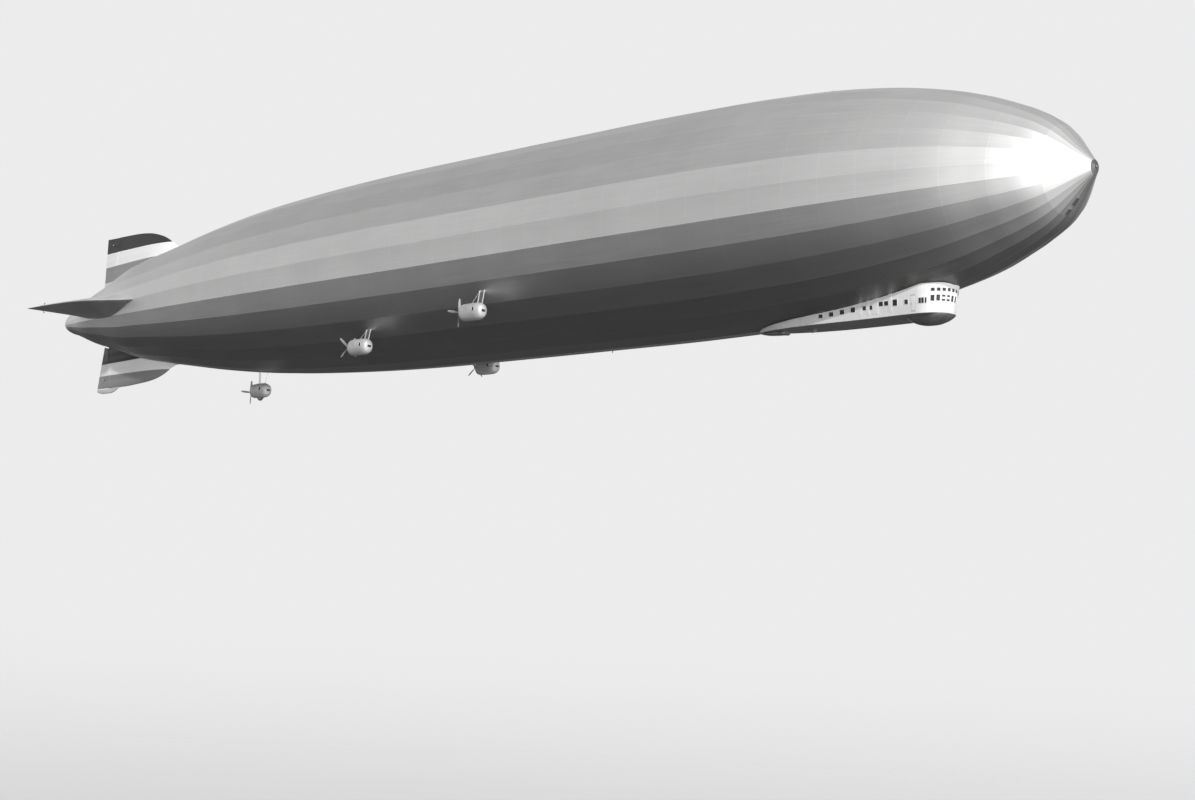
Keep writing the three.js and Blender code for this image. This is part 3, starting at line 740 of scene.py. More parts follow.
pale_canvas = Finish("pale_canvas", "buffer_rubber")
weave = pale_canvas.grain(120.0, 3.0, (1, 3, 1))
stain = pale_canvas.grain(7.0, 3.0)
pale_canvas.coat(pale_canvas.blend(stain, grey(0.34), grey(0.48)), roughness=weave * 0.2 + 0.6, height=weave)
piece("fin_buffer_pad", bolster(FIN_BUFFER), pale_canvas, nodes=["fin_bumper"])

# Control car walls: white-painted alloy sheet on a light frame, flat down the sides and bent round the
# bow, leaning in towards the floor. Windows are cut through, each in a raised frame, and the doorway is
# on the starboard side.
PLAN_Z = -12
LEAN = 0.114
LEAN_TURN = atan(LEAN)
CAR_WIDE = 3.1
BOW_CENTRE = 22.15
WALL = 0.12
PLAN_REAR = [(38, 3.1), (42, 2.8), (45.5, 2.18), (48.2, 1.32), (49.5, 0.5)]
# aft, z of the chine, z of the keel
BELLY = [
    (18, -14.35, -14.42),
    (19.3, -14.76, -14.84),
    (20.4, -14.86, -14.97),
    (24, -14.93, -15.06),
    (30, -15.02, -15.12),
    (34.5, -15.06, -15.14),
    (44, -15.06, -15.12),
    (50, -15, -15.05),
]
FLOOR_THICK = 0.14
PANE_TURNS = [90 + 12.6 * step for step in range(-4, 5)]
PANE_ROWS = [(-12.62, -12.24), (-13.75, -13.05)]
PANE_RISE = 0.32
PANE_WIDE = 0.42
SPLIT_PANES = PANE_TURNS[2:4]
PANE_LEAST = 0.5  # a pane that opens in halves is taller than this
# two windows where the wall bends round: degrees ahead of abeam, width, sill z, head z
SHOULDER_WINDOWS = [(24.3, 0.21, -13.78, -13.15), (13.4, 0.7, -13.8, -13.16)]
WIDE_PANE = 0.7  # a pane this wide has an upright bar in the middle
# front aft, rear aft, sill z, head z
SIDE_WINDOWS = [
    (23.32, 23.88, -13.76, -13.24),
    (24.9, 25.63, -13.82, -13.08),
    (26.23, 26.88, -13.7, -13.18),
    (27.03, 27.68, -13.7, -13.18),
    (28.65, 29.09, -14, -13.5),
    (29.62, 30.17, -13.98, -13.5),
    (31.3, 32, -14.1, -13.5),
    (33, 33.7, -14.2, -13.65),
    (34.7, 35.4, -14.3, -13.8),
    (36.4, 37.1, -14.38, -13.95),
]
DOOR_FRONT, DOOR_REAR, DOOR_SILL, DOOR_HEAD = 22.3, 22.95, -14.6, -12.8
DOORWAY_WIDE = 0.82
# front aft and rear aft of the flat posts, and their middle z
WALL_POSTS = [(25.7, 26.17), (27.77, 28.57), (29.12, 29.57), (30.27, 30.87)]
POST_Z, POST_TALL = -13.4, 2.4


def lean_at(z):
    return LEAN * (PLAN_Z - z)


def plan(inset):
    """Outline of the car as aft and y, from the bow down the starboard side and back up the port side."""
    radius = CAR_WIDE - inset
    turns = [radians(degrees) for degrees in range(90, -1, -5)]
    side = [(BOW_CENTRE - radius * sin(t), radius * cos(t)) for t in turns]
    side += [(aft, radius) for aft in (23.2, 25, 27, 29, 31, 33, 35, 36.5)]
    side += [(aft - inset, max(wide - inset, 0.05)) for aft, wide in PLAN_REAR]
    return [(aft, -wide) for aft, wide in side] + [(aft, wide) for aft, wide in side[:0:-1]]


def hull_under(aft, y):
    """Height of the hull's underside."""
    return -sqrt(max(hull_radius(aft) ** 2 - y * y, 0))


def shell(outer, inner, foot, top):
    """A wall that follows the plan between two insets; foot and top give z from aft and y."""
    rows = []
    for inset, ends in ((outer, (foot, top)), (inner, (top, foot))):
        for end in ends:
            level = end(BOW_CENTRE, 0)
            ring = []
            for column in range(len(plan(0))):
                z = level
                for _ in range(3):
                    aft, y = plan(inset + lean_at(z))[column]
                    z = end(aft, y)
                ring.append(at(aft, y, z))
            rows.append(ring)
    return [point for row in rows for point in row], tube_faces(4, len(rows[0]), closed_rows=True)


def wall_axes(turn):
    """Along, out and up directions of the wall facing this many degrees ahead of starboard abeam."""
    t = radians(turn)
    out = Vector((sin(t), -cos(t), 0))
    along = Vector((cos(t), sin(t), 0))
    low, high = sin(LEAN_TURN), cos(LEAN_TURN)
    return along, out * high - AXES[2] * low, out * low + AXES[2] * high


def wall_spot(turn, aft, z, out=0.0, along=0.0):
    """A point on the outside of the wall, with aft the centre of the bow or the place on a side."""
    t = radians(turn)
    reach = CAR_WIDE - lean_at(z) + out
    ahead = reach * sin(t) + along * cos(t)
    return at(aft - ahead, -reach * cos(t) + along * sin(t), z)


# every opening as turn, aft, middle z, width, height
openings = []
for angle in PANE_TURNS:
    for sill, head in PANE_ROWS:
        middle = (sill + head) / 2 + PANE_RISE * sin(radians(angle))
        openings.append((angle, BOW_CENTRE, middle, PANE_WIDE, head - sill))
for angle, width, sill, head in SHOULDER_WINDOWS:
    for side in (angle, 180 - angle):
        openings.append((side, BOW_CENTRE, (sill + head) / 2, width, head - sill))
for front, rear, sill, head in SIDE_WINDOWS:
    for angle in (0, 180):
        openings.append((angle, (front + rear) / 2, (sill + head) / 2, rear - front, head - sill))


def window_frame(opening, wide=0.05, proud=0.035):
    """Four bars round an opening, and a bar across the panes that open in halves."""
    angle, aft, z, width, height = opening
    axes = wall_axes(angle)
    bars = []
    for side in (1, -1):
        rail = wall_spot(angle, aft, z) + axes[2] * side * (height + wide) / 2 * SCALE
        post = wall_spot(angle, aft, z, along=side * (width + wide) / 2)
        bars.append(slab(rail, (width + 2 * wide, proud * 2, wide), axes, 0.015))
        bars.append(slab(post, (wide, proud * 2, height), axes, 0.015))
    if angle in SPLIT_PANES and height > PANE_LEAST:
        bars.append(slab(wall_spot(angle, aft, z, -0.03), (width, 0.04, 0.24), axes, 0.01))
    if width == WIDE_PANE:
        bars.append(slab(wall_spot(angle, aft, z, -0.02), (0.035, 0.03, height), axes, 0.01))
    return together(*bars)


def hole(opening):
    angle, aft, z, width, height = opening
    return slab(wall_spot(angle, aft, z, -0.1), (width, 0.9, height), wall_axes(angle), 0.03)


white_paint = Finish("white_paint", "white_panel")
seam = (white_paint.spot[0] - 0.02).near(0.12, 0.0016)
soot = white_paint.grain(6.0, 4.0, (0.5, 1, 2))
peel = white_paint.grain(260.0)
# the paint is darker towards the bottom of the wall
above_bottom = white_paint.ramp(white_paint.spot[2], -1.5, -1.2)
lower_wall_paint = white_paint.blend(soot, grey(0.5), grey(0.68))
paint = white_paint.blend(above_bottom, lower_wall_paint, white_paint.blend(soot, grey(0.6), grey(0.74)))
paint = white_paint.blend(seam, paint, grey(0.45))
white_paint.coat(paint, roughness=soot * 0.2 + 0.38, height=peel * 0.4 - seam * 1.5, distance=0.0006)


def wall_foot(aft, y):
    return fair(BELLY, min(aft, 49.9))


walls = shell(0, WALL, wall_foot, lambda aft, y: hull_under(aft, y) + WALL)
door_middle = (DOOR_FRONT + DOOR_REAR) / 2, (DOOR_SILL + DOOR_HEAD) / 2
doorway = (0, door_middle[0] - 0.025, door_middle[1], DOORWAY_WIDE, DOOR_HEAD - DOOR_SILL + 0.1)
cuts = [together(*map(hole, openings), hole(doorway))]
made = piece("car_walls", walls, white_paint, nodes=["gondola_walls"], sharp=30, cuts=cuts)
made.visible_glossy = False  # the dull cloth above shows no image of the white walls
frames = [window_frame(opening) for opening in openings]
piece("window_frames", together(*frames, window_frame(doorway, 0.04, 0.02)), white_paint)
posts = []
for front, rear in WALL_POSTS:
    for angle in (0, 180):
        centre = wall_spot(angle, (front + rear) / 2, POST_Z, 0.01)
        posts.append(slab(centre, (rear - front, 0.05, POST_TALL), wall_axes(angle), 0.02))
piece("wall_posts", together(*posts), white_paint)

# Entry door: one leaf pressed from alloy sheet with a raised middle, painted like the walls. It turns on
# a post at its front edge that leans with the wall, and has a brass handle.
RAISED = (0.45, 0.03, 0.75)
leaf_middle = wall_spot(0, *door_middle, -WALL / 2)
leaf_size = (DOOR_REAR - DOOR_FRONT, 0.08, (DOOR_HEAD - DOOR_SILL) / cos(LEAN_TURN))
axes = wall_axes(0)
leaf = slab(leaf_middle, leaf_size, axes, 0.015)
raised = [slab(leaf_middle + axes[1] * 0.0035 + axes[2] * up, RAISED, axes) for up in (0.045, -0.045)]
post_ends = [wall_spot(0, DOOR_FRONT, z, -WALL / 2) for z in (DOOR_SILL - 0.15, DOOR_HEAD + 0.18)]
handle_foot = wall_spot(0, DOOR_REAR - 0.1, -13.75, -0.03)
grip = handle_foot + axes[1] * 0.008
handle = [rod(handle_foot, handle_foot + axes[1] * 0.009, 0.02), rod(grip, grip + AXES[0] * 0.014, 0.018)]
door = together(leaf, *raised, rod(*post_ends, 0.038))
piece("door_leaf", door, white_paint, body="entry_door", nodes=["gondola_door"])
dark, light = (0.45, 0.3, 0.12, 1), (0.6, 0.43, 0.2, 1)
brass = mottled("brass", "white_panel", dark, light, 200.0, rough=(0.2, 0.3), Metallic=1.0)
piece("door_handle", together(*handle), brass, body="entry_door")

# Belly: floor and keel girders under stretched canvas, dark with dope and dirt, with two small housings
# bolted under it near the rear.
dark_canvas = Finish("dark_canvas", "belly_panel")
weave = dark_canvas.grain(240.0)
frame_line = dark_canvas.spot[0].near(0.1, 0.003)
canvas = dark_canvas.blend(dark_canvas.grain(5.0, 4.0, (0.4, 2, 1)), grey(0.09), grey(0.17))
dark_canvas.coat(canvas, roughness=weave * 0.2 + 0.5, height=weave * 0.5 + frame_line, distance=0.0008)
rings = []
CHINE_Z = -14.85
for aft, wide in [(aft, -y) for aft, y in plan(lean_at(CHINE_Z)) if y < -0.2]:
    chine, keel = fair(BELLY, aft, 1), fair(BELLY, aft, 2)
    half = max(wide - 0.6 * WALL, 0.1)
    ring = [at(aft, y, keel + (chine - keel) * abs(y / half) ** 4) for y in spread(-half, half, 16)]
    rings.append(ring + [at(aft, half, chine + FLOOR_THICK), at(aft, -half, chine + FLOOR_THICK)])
housings = [
    block((39.9, -0.35, -15.5), (40.9, 0.35, -15.02), 0.12),
    block((41.25, -0.2, -15.27), (41.75, 0.2, -15.02), 0.06),
]
piece("belly_skin", together(loft(rings), *housings), dark_canvas, nodes=["gondola_belly"])

# Partitions inside the car: light plywood screwed to the floor and the walls, each with a doorway
# between two rooms.
dark, light = (0.36, 0.27, 0.17, 1), (0.5, 0.39, 0.26, 1)
plywood = mottled("plywood", "inner_panel", dark, light, 12.0, 4.0, (1, 2, 30), rough=(0.45, 0.2))
DOORWAY_HALF = 0.35
# aft and height of the doorway
PARTITIONS = {"control": (22.17, 1.9), "saloon": (24.39, 1.9), "cabins": (30.74, 1.3)}


def block_at(centre, low, high, edge):
    """A block between two corners given from a centre."""
    return block(*([a + b for a, b in zip(centre, corner)] for corner in (low, high)), edge)


for name, (aft, tall) in PARTITIONS.items():
    floor_z = fair(BELLY, aft) + FLOOR_THICK + 0.01
    levels = spread(floor_z, hull_under(aft, 2.8) + 0.02, 6)
    rings = []
    for station, inset in ((aft - 0.04, 0.02), (aft - 0.03, 0), (aft + 0.03, 0), (aft + 0.04, 0.02)):
        right = [(CAR_WIDE - WALL - 0.05 - lean_at(z) - inset, z) for z in levels]
        outline = right + [(y, hull_under(aft, y)) for y in (2.4, 1.6, 0.8)]
        rings.append([at(station, y, z) for y, z in outline] + [at(station, -y, z) for y, z in outline[::-1]])
    opening = block_at((aft, 0, floor_z), (-0.5, -DOORWAY_HALF, 0.02), (0.5, DOORWAY_HALF, tall), 0.05)
    piece(f"partition_{name}", loft(rings), plywood, nodes=[f"bulkhead_{name}"], cuts=[opening])

# Window glass: thin flat sheets of cellon, a clear film that scratches a little with cleaning. They are
# held behind the frames.
cellon = Finish("cellon", "window_glass", IOR=1.5)
smear = cellon.grain(18.0, 3.0)
cellon.coat(grey(0.03), roughness=smear * 0.12 + 0.04, Alpha=smear * 0.1 + 0.5)
panes = {"control": [], "starboard": [], "port": []}
for angle, aft, z, width, height in openings:
    side = "control" if aft == BOW_CENTRE else ("port" if angle else "starboard")
    panes[side].append(slab(wall_spot(angle, aft, z, -0.035), (width, 0.02, height), wall_axes(angle), 0.005))
for side, sheets in panes.items():
    piece(f"panes_{side}", together(*sheets), cellon, nodes=[f"glazing_{side}"])

# Fittings of the rooms: painted metal bolted to the floor. In front are two wheels on their stands and
# the chart table, and behind them two benches.
fitting = mottled("fitting_paint", "inner_panel", grey(0.18), grey(0.28), 40.0, Roughness=0.4)
# two corners with z over the floor, and worn edge: wheel stands, chart table and its leg, two benches
FURNITURE = [
    ((20.55, -0.15, 0), (20.75, 0.15, 1), 0.04),
    ((21.0, 1.1, 0), (21.2, 1.4, 1), 0.04),
    ((21.1, -1.7, 0.75), (21.95, -0.9, 0.82), 0.02),
    ((21.2, -1.4, 0), (21.35, -1.2, 0.78), 0.02),
    ((25.2, -1.2, -0.05), (26.4, -0.5, 0.7), 0.05),
    ((25.2, 0.5, -0.05), (26.4, 1.2, 0.7), 0.05),
]
# aft, y and the direction across each wheel
WHEELS = [(20.5, 0, AXES[1]), (21.1, 1.05, AXES[0])]
WHEEL_RADIUS = 0.35
RIM_PARTS = 16
floor_z = fair(BELLY, 20.5) + FLOOR_THICK
inside = [block_at((0, 0, floor_z), *box) for box in FURNITURE]
for aft, y, across in WHEELS:
    hub = at(aft, y, floor_z + 1)
    spokes = [across * cos(t) + AXES[2] * sin(t) for t in circle(RIM_PARTS)]
    rim = [hub + spoke * WHEEL_RADIUS * SCALE for spoke in spokes]
    inside += [rod(rim[i - 1], rim[i], 0.025) for i in range(RIM_PARTS)]
    inside += [rod(hub, point, 0.018) for point in rim[::2]]
piece("control_room_fittings", together(*inside), fitting)

# Buffers of the car: the bow stands on a great bowl of rubbered cloth over air bags, the rear on a
# shallow skid of the same.
rubbered = Finish("rubbered_cloth", "buffer_rubber", Coat_Weight=1.0, Coat_Roughness=0.2)
crease = rubbered.grain(9.0, 4.0, (1, 1.5, 0.6))
weave = rubbered.grain(200.0)
gore = rubbered.spot[1].near(0.09, 0.003)
cloth = rubbered.blend(crease, grey(0.05), grey(0.16))
height = crease * 2 + weave * 0.2 + gore * 0.8
rubbered.coat(cloth, roughness=crease * 0.3 + 0.2, height=height, distance=0.0012)
BOWL_TOP = -14.82
# aft, half width, z of the foot
BOWL = [
    (19.16, 0.5, -14.86),
    (19.35, 1.05, -15.08),
    (19.7, 1.42, -15.34),
    (20.2, 1.72, -15.6),
    (20.9, 1.94, -15.84),
    (21.6, 2.02, -15.98),
    (22.1, 2.02, -16),
    (22.6, 2.02, -16),
    (23.3, 1.94, -15.93),
    (24, 1.72, -15.76),
    (24.6, 1.35, -15.52),
    (25.1, 0.9, -15.25),
    (25.4, 0.5, -15.1),
]
BOWL_RINGS, BOWL_POINTS = 36, 28
rings = []
for aft in spread(BOWL[0][0], BOWL[-1][0], BOWL_RINGS):
    half, deep = fair(BOWL, aft), fair(BOWL, aft, 2) - BOWL_TOP
    turns = spread(0, pi, BOWL_POINTS)
    rings.append([at(aft, half * cos(t), BOWL_TOP + deep * sin(t)) for t in turns])
piece("bow_buffer_bowl", loft(rings), rubbered, nodes=["gondola_bumper"])
# as FIN_BUFFER
REAR_BUFFER = [
    (44.6, 0.55, 15, 15.42),
    (44.75, 0.7, 15, 15.5),
    (45.4, 0.8, 15, 15.5),
    (46.7, 0.8, 15, 15.46),
    (47.9, 0.7, 15, 15.38),
    (48.6, 0.5, 14.98, 15.26),
    (48.9, 0.3, 14.98, 15.16),
]
piece("rear_buffer_skid", bolster(REAR_BUFFER), rubbered, nodes=["gondola_rear_bumper"])

# Engine cars: streamlined shells of hammered alloy sheet round a frame, each with a radiator in its nose,
# one diesel engine, a window and louvres for the mechanic's space, and a pusher propeller.
# name, aft, y and z of the centre, rest angle of the propeller, where the ladder's head meets the hull
ENGINE_CARS = [
    ("forward_port", 89.4, 14.8, -11.1, 12, 58.5),
    ("forward_starboard", 89.4, -14.8, -11.1, 0, 58.5),
    ("aft_port", 118.9, 12.3, -13.7, 42, 44),
    ("aft_starboard", 118.9, -12.3, -13.7, 38, 44),
    ("centre", 164.4, 0, -16.6, 0, 0),
]
CAR_HALF_WIDE = 1
CAR_HALF_HIGH = 1.2
# distance behind the car's centre, share of the full width and height
CAR_LINES = [
    (-2.36, 0.46),
    (-2.3, 0.58),
    (-2.15, 0.74),
    (-1.9, 0.86),
    (-1.5, 0.955),
    (-1.1, 0.99),
    (-0.4, 1),
    (0.5, 1),
    (1.3, 0.994),
    (1.75, 0.965),
    (2.0, 0.915),
    (2.08, 0.87),
    (2.11, 0.8),
]
CAR_WALL = 0.06
CAR_RINGS, CAR_POINTS = 40, 40
HOLLOW_AT = (-2.28, -2.1, -1.5, -0.4, 0.5, 1.3, 1.88)
# bars of the lip round the mouth: from and to behind the centre, then for each y and z from and to
LIP_DEEP = (-2.38, -2.32)
LIP_BARS = [
    (-0.37, 0.37, 0.16, 0.19),
    (-0.37, 0.37, -0.19, -0.16),
    (-0.37, -0.34, -0.19, 0.19),
    (0.34, 0.37, -0.19, 0.19),
]
# window: ahead and behind, sill and head; bars round it: the same, then how far out the bar lies
WINDOW = (-1.38, -0.95, 0, 0.45)
WINDOW_BARS = [
    (-1.42, -0.91, 0.45, 0.49, 0.95),
    (-1.42, -0.91, -0.04, 0, 0.99),
    (-1.42, -1.38, 0, 0.45, 0.96),
    (-0.95, -0.91, 0, 0.45, 0.98),
]
# louvres: place, size, and degrees from the roof
LOUVRE_AT, LOUVRE = 0.42, (0.86, 0.05, 0.07)
LOUVRE_TURNS = [38 + 7.5 * step for step in range(7)]
# a box is two corners from the car's centre and its worn edge
MOUTH_HOLE = ((-3, -0.34, -0.16), (-1.9, 0.34, 0.16), 0.08)
CORE = ((-2.3, -0.33, -0.15), (-2.05, 0.33, 0.15), 0.01)
CRANKCASE = ((-1.3, -0.34, -0.55), (0.5, 0.34, 0.02), 0.06)
SUMP = ((-1, -0.2, -1.09), (0.4, 0.2, -0.5), 0.03)
CYLINDERS, CYLINDER_FIRST, CYLINDER_STEP = 6, -1.12, 0.29
CYLINDER_TALL, CYLINDER_WIDE, STUB_WIDE = 0.32, 0.13, 0.04
# the shaft's bore in the shell: from, to, radius
BORE = (1.7, 2.8, 0.076)
HUB_BEHIND = 3
BLADES, BLADE_POINTS = 4, 14
# a blade: distance from the hub's centre, chord, thickness, pitch
BLADE = [
    (0.1, 0.2, 0.14, 64),
    (0.3, 0.28, 0.12, 54),
    (0.65, 0.37, 0.09, 42),
    (1.35, 0.37, 0.05, 26),
    (1.8, 0.27, 0.036, 20),
    (1.95, 0.18, 0.03, 18),
    (2, 0.08, 0.024, 18),
]
# turned parts: distance behind the car's centre or the hub's, radius
COLLAR = [(2.1, 0.3), (2.16, 0.26), (2.2, 0.16), (2.1, 0.12)]
BOSS = [(-0.18, 0.12), (-0.16, 0.19), (0.16, 0.19), (0.18, 0.12)]
HUB_CAP = [(-0.22, 0.1), (-0.2, 0.14), (0.2, 0.14), (0.24, 0.1), (0.3, 0.04)]
SHAFT, SHAFT_LONG = 0.065, 1.13
SADDLE_FRONT, SADDLE_REAR, SADDLE_HALF, SADDLE_THICK = -1.45, 1.25, 0.22, 0.07
# two rails and the strut: how far behind the car's centre the foot and the head are
SIDE_STAYS = [(-1.3, 0.08), (-0.3, 1.08), (1.15, 1.08)]
CENTRE_STAYS = [(0.2, 0.4), (0.6, 0.8), (-1.15, -1.9)]
RAIL, CENTRE_RAIL, STRUT = 0.08, 0.055, 0.022
STAY_SINK = 0.1
RUNGS = 7

car_metal = Finish("car_metal", "car_metal", Metallic=0.4)
hammered = car_metal.grain(38.0, 3.0)
oil = car_metal.grain(9.0, 4.0, (0.4, 1, 1))
panel = car_metal.spot[0].near(0.06, 0.0014)
metal = car_metal.blend(panel, car_metal.blend(oil, grey(0.34), grey(0.54)), grey(0.22))
car_metal.coat(metal, roughness=oil * 0.25 + 0.38, height=hammered * 1.2 - panel, distance=0.0006)
look = {"rough": (0.4, 0.3), "Metallic": 1.0}
core = mottled("radiator_core", "radiator_core", grey(0.05), grey(0.1), 50.0, **look)
look = {"rough": (0.3, 0.4), "uneven": True, "Metallic": 1.0}
iron = mottled("engine_iron", "engine_iron", grey(0.08), grey(0.18), 60.0, 3.0, **look)
look = {"rough": (0.3, 0.2), "uneven": True, "Metallic": 0.4}
strut_metal = mottled("strut_metal", "strut_metal", grey(0.45), grey(0.65), 70.0, 3.0, **look)
wood = Finish("laminated_wood", "propeller_wood", Coat_Weight=0.4, Coat_Roughness=0.15)
grain = wood.grain(20.0, 4.0, (30, 3, 3))
layer = wood.spot[0].near(0.004, 0.0012)
timber = wood.blend(layer, wood.blend(grain, grey(0.17), grey(0.27)), grey(0.12))
wood.coat(timber, roughness=grain * 0.2 + 0.3, height=grain)


def car_ring(centre, behind, share, inset=0.0):
    """A fair oval a little fuller than an ellipse."""
    aft, y, z = centre
    ring = []
    for angle in circle(CAR_POINTS):
        wide = fuller(sin(angle), 0.92) * (CAR_HALF_WIDE * share - inset)
        high = fuller(cos(angle), 0.92) * (CAR_HALF_HIGH * share - inset)
        ring.append(at(aft + behind, y + wide, z + high))
    return ring


def blade_shape(hub, turn):
    """A blade with a flat face and a round back, twisted towards its tip."""
    aft, y, z = hub
    rings = []
    for out, chord, thick, pitch in BLADE:
        lean = radians(pitch)
        ring = []
        for around in circle(BLADE_POINTS):
            along, over = 0.5 * cos(around), 0.5 * sin(around)
            over = over if over > 0 else over * 0.25
            across = chord * along * cos(lean) - thick * over * sin(lean)
            ahead = chord * along * sin(lean) + thick * over * cos(lean)
            sideways = across * cos(turn) + out * sin(turn)
            up = out * cos(turn) - across * sin(turn)
            ring.append(at(aft - ahead, y + sideways, z + up))
        rings.append(ring)
    return loft(rings)


def car_trim(centre, axle):
    """Collar round the shaft, louvres, and raised bars round the windows and the mouth."""
    aft, y, z = centre
    trim = [turned(COLLAR, aft, *axle, 24)]
    for side in (-1, 1):
        for degrees in LOUVRE_TURNS:
            angle = radians(degrees)
            across, high = side * sin(angle) * CAR_HALF_WIDE, cos(angle) * CAR_HALF_HIGH
            out = Vector((0, across * CAR_HALF_HIGH**2, high * CAR_HALF_WIDE**2)).normalized()
            spot = at(aft + LOUVRE_AT, y + across, z + high) + out * 0.001
            trim.append(slab(spot, LOUVRE, (AXES[0], out, AXES[0].cross(out))))
        for front, rear, sill, head, reach in WINDOW_BARS:
            face = side * reach
            trim.append(block_at(centre, (front, face - 0.04, sill), (rear, face + 0.02, head), 0.01))
    for left, right, low, high in LIP_BARS:
        trim.append(block_at(centre, (LIP_DEEP[0], left, low), (LIP_DEEP[1], right, high), 0.008))
    return together(*trim)


def radiator(centre):
    fins = [block_at(centre, *CORE)]
    for across in spread(-0.3, 0.3, 10):
        fins.append(block_at(centre, (-2.32, across - 0.012, -0.15), (-2.28, across + 0.012, 0.15), 0.004))
    return together(*fins)


def engine(centre):
    """Crankcase, sump and a row of cylinders, each with its exhaust stub."""
    aft, y, z = centre
    parts = [block_at(centre, *CRANKCASE), block_at(centre, *SUMP)]
    for cylinder in range(CYLINDERS):
        station = aft + CYLINDER_FIRST + CYLINDER_STEP * cylinder
        parts.append(rod(at(station, y, z), at(station, y, z + CYLINDER_TALL), CYLINDER_WIDE, sides=16))
        parts.append(rod(at(station, y + 0.12, z + 0.2), at(station, y + 0.34, z), STUB_WIDE))
    return together(*parts)


def mounting(centre, outward, ladder_head):
    """A saddle on the roof, two rails with rungs between them and a strut, up to the hull."""
    aft, y, z = centre
    inboard = -30 * outward if y else 0
    turns = [radians(inboard + degrees) for degrees in (-15, 15)]
    (ya, za), (yb, zb) = [(sin(t) * CAR_HALF_WIDE, cos(t) * CAR_HALF_HIGH) for t in turns]
    roof = Vector((0, yb - ya, zb - za)).normalized()
    rise = AXES[0].cross(roof)
    saddle = at(0, y + (ya + yb) / 2, z + (za + zb) / 2) + rise * 0.0045
    middle = saddle - AXES[0] * ((aft + (SADDLE_FRONT + SADDLE_REAR) / 2) * SCALE)
    gear = [slab(middle, (SADDLE_REAR - SADDLE_FRONT, 2 * SADDLE_HALF, SADDLE_THICK), (AXES[0], roof, rise))]
    lean = radians(ladder_head) * outward
    stays = []
    for foot_behind, head_behind in SIDE_STAYS if y else CENTRE_STAYS:
        reach = hull_radius(aft + head_behind) - STAY_SINK
        head = at(aft + head_behind, reach * sin(lean), -reach * cos(lean))
        stays.append((saddle - AXES[0] * ((aft + foot_behind) * SCALE), head))
    rail = RAIL if y else CENTRE_RAIL
    for (start, end), size in zip(stays, (rail, rail, STRUT)):
        gear.append(rod(start, end, size))
        gear.append(rod(end, end.lerp(start, 0.05), size + 0.07, size + 0.02))
        gear.append(rod(start, start.lerp(end, 0.03), size + 0.05, size + 0.01))
    for rung in range(1, RUNGS):
        gear.append(rod(*[start.lerp(end, rung / RUNGS) for start, end in stays[:2]], 0.024, sides=8))
    return together(*gear)


for name, *centre, rest, ladder_head in ENGINE_CARS:
    aft = centre[0]
    low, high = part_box(f"propeller_{name}")
    axle = ((low + high) / 2 / SCALE)[1:]
    stations = spread(CAR_LINES[0][0], CAR_LINES[-1][0], CAR_RINGS)
    outside = [car_ring(centre, behind, fair(CAR_LINES, behind)) for behind in stations]
    hollow = [car_ring(centre, behind, fair(CAR_LINES, behind), CAR_WALL) for behind in HOLLOW_AT]
    window = block_at(centre, (WINDOW[0], -2, WINDOW[2]), (WINDOW[1], 2, WINDOW[3]), 0.06)
    bore = rod(at(aft + BORE[0], *axle), at(aft + BORE[1], *axle), BORE[2], sides=20)
    cuts = [loft(hollow), window, block_at(centre, *MOUTH_HOLE), bore]
    piece(f"car_{name}_skin", loft(outside), car_metal, nodes=[f"car_{name}_shell"], cuts=cuts)
    piece(f"car_{name}_trim", car_trim(centre, axle), car_metal)
    piece(f"car_{name}_core", radiator(centre), core, nodes=[f"car_{name}_radiator"])
    piece(f"car_{name}_motor", engine(centre), iron, nodes=[f"car_{name}_engine"])
    gear = mounting(centre, 1 if centre[1] > 0 else -1, ladder_head)
    piece(f"car_{name}_gear", gear, strut_metal, nodes=[f"car_{name}_mounting"])
    hub = aft + HUB_BEHIND
    body = f"propeller_{name}"
    blades = [blade_shape((hub, *axle), turn + radians(rest)) for turn in circle(BLADES)]
    piece(body + "_blades", together(*blades, turned(BOSS, hub, *axle, 32)), wood, body=body, nodes=[body])
    shaft = rod(at(hub - SHAFT_LONG, *axle), at(hub - 0.2, *axle), SHAFT, sides=20)
    piece(body + "_hub", together(turned(HUB_CAP, hub, *axle, 32), shaft), strut_metal, body=body)

# Buffer of the centre car: a short pointed skid of the same rubbered cloth over an air bag, strapped
# under the engine. Its columns are those of FIN_BUFFER.
CENTRE_BUFFER = [
    (163.35, 0.1, 17.7, 17.85),
    (163.7, 0.2, 17.68, 18),
    (164.1, 0.25, 17.68, 18.26),
    (164.4, 0.26, 17.68, 18.3),
    (164.75, 0.24, 17.68, 18.22),
    (165.05, 0.18, 17.7, 17.98),
    (165.25, 0.1, 17.7, 17.86),
]
piece("centre_buffer_skid", bolster(CENTRE_BUFFER), rubbered, nodes=["centre_car_bumper"])

# The room: a pale floor just under the eye, a bright even sky and one low soft lamp ahead of the ship
# on its starboard side. The camera stands where the photographer stood.
EYE = Vector((23.014, -18.165, -5.143))
EYE_RIGHT = Vector((0.67648, 0.73477, 0.04993))
EYE_UP = Vector((0.04594, -0.10977, 0.99290))
LENS = 59.26
FLOOR_Z = EYE.z - 0.12
FLOOR_REACH = 12
FLOOR_FADE = (0.012, 0.16)  # slopes of the view down to the floor between which it fades in
BACKDROP = 0.84

lens = bpy.data.cameras.new("camera")
lens.lens = LENS
lens.sensor_width = 36
lens.clip_end = 2000
camera = placed("camera", lens)
turn = Matrix((EYE_RIGHT, EYE_UP, EYE_RIGHT.cross(EYE_UP))).transposed()
camera.matrix_world = Matrix.Translation(EYE) @ turn.to_4x4()
bpy.context.scene.camera = camera
bpy.context.scene.view_settings.view_transform = "Standard"


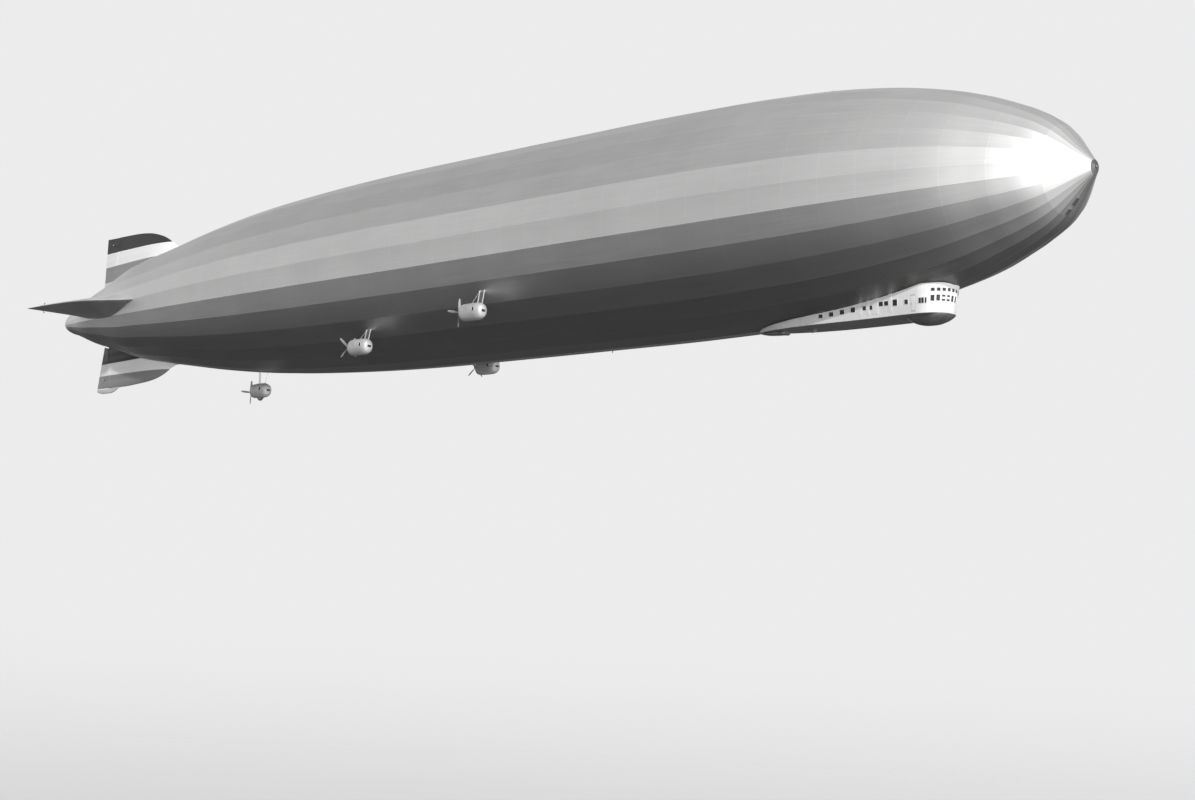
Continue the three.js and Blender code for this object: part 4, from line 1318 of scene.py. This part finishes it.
def towards(turn, rise):
    """The direction this far to starboard of straight ahead and this far up, in degrees."""
    turn, rise = radians(turn), radians(rise)
    return Vector((cos(rise) * cos(turn), -cos(rise) * sin(turn), sin(rise)))


lamp = bpy.data.lights.new("sun", "SUN")
lamp.energy = 2.85
lamp.angle = radians(1.5)
placed("sun", lamp).rotation_euler = towards(32, 23.2).to_track_quat("Z", "Y").to_euler()

# The floor is a pale disc that fades into the backdrop, and is clear from underneath.
paving = Finish("paving", "", Roughness=0.9)
x, y, z = paving.spot
from_eye = paving.vector(x - EYE.x, y - EYE.y, 0)
far = paving.node("ShaderNodeVectorMath", {"operation": "LENGTH"}, {0: from_eye}, out="Value")
shown = paving.ramp((EYE.z - FLOOR_Z) / far, *FLOOR_FADE)
under = paving.node("ShaderNodeNewGeometry", out="Backfacing")
speck = paving.noise(paving.vector(x, y, 0), 9.0, 4.0)
paving.coat(paving.blend(speck, grey(0.58), grey(0.62)), Alpha=shown * (1 - under))
plane = bpy.data.meshes.new("floor")
middle = Vector((EYE.x, EYE.y, FLOOR_Z))
rim = [middle + Vector((cos(t), sin(t), 0)) * FLOOR_REACH for t in circle(72)]
plane.from_pydata(rim, [], [tuple(range(len(rim)))])
plane.materials.append(paving.material)
floor = placed("floor", plane)
floor.visible_diffuse = False
floor.visible_glossy = False
floor.visible_shadow = False

# The sky: its brightness by the sine of the height, and the bright parts of the haze with their strength.
SKY = [
    (-0.5, 0.035),
    (-0.25, 0.035),
    (-0.1, 0.08),
    (0.0, 0.58),
    (0.1, 0.74),
    (0.3, 0.58),
    (0.6, 0.2),
    (1.0, 0.6),
]
GLOWS = [(towards(10, -13), 1.75), (towards(58, 18), 0.36)]
world = bpy.data.worlds.new("sky")
bpy.context.scene.world = world
world.use_nodes = True
sky = Nodes(world.node_tree)
ray = sky.node("ShaderNodeTexCoord", out="Generated")
stops = [((height + 1) / 2, grey(bright)) for height, bright in SKY]
light = sky.node("ShaderNodeValToRGB", {"stops": stops}, {0: sky.split(ray)[2] * 0.5 + 0.5})
for middle, strength in GLOWS:
    facing = sky.node("ShaderNodeVectorMath", {"operation": "DOT_PRODUCT"}, {0: ray, 1: middle}, out="Value")
    facing = sky.maths("MAXIMUM", facing, 0.0)
    glow = facing * facing * strength
    light = sky.node("ShaderNodeVectorMath", {"operation": "ADD"}, {0: light, 1: glow})
seen = sky.node("ShaderNodeLightPath", out="Is Camera Ray")
shown = sky.node("ShaderNodeMix", {"data_type": "RGBA"}, {0: seen, 6: light, 7: grey(BACKDROP)}, out=2)
sky.set(sky.tree.nodes["Background"], {"Color": shown})
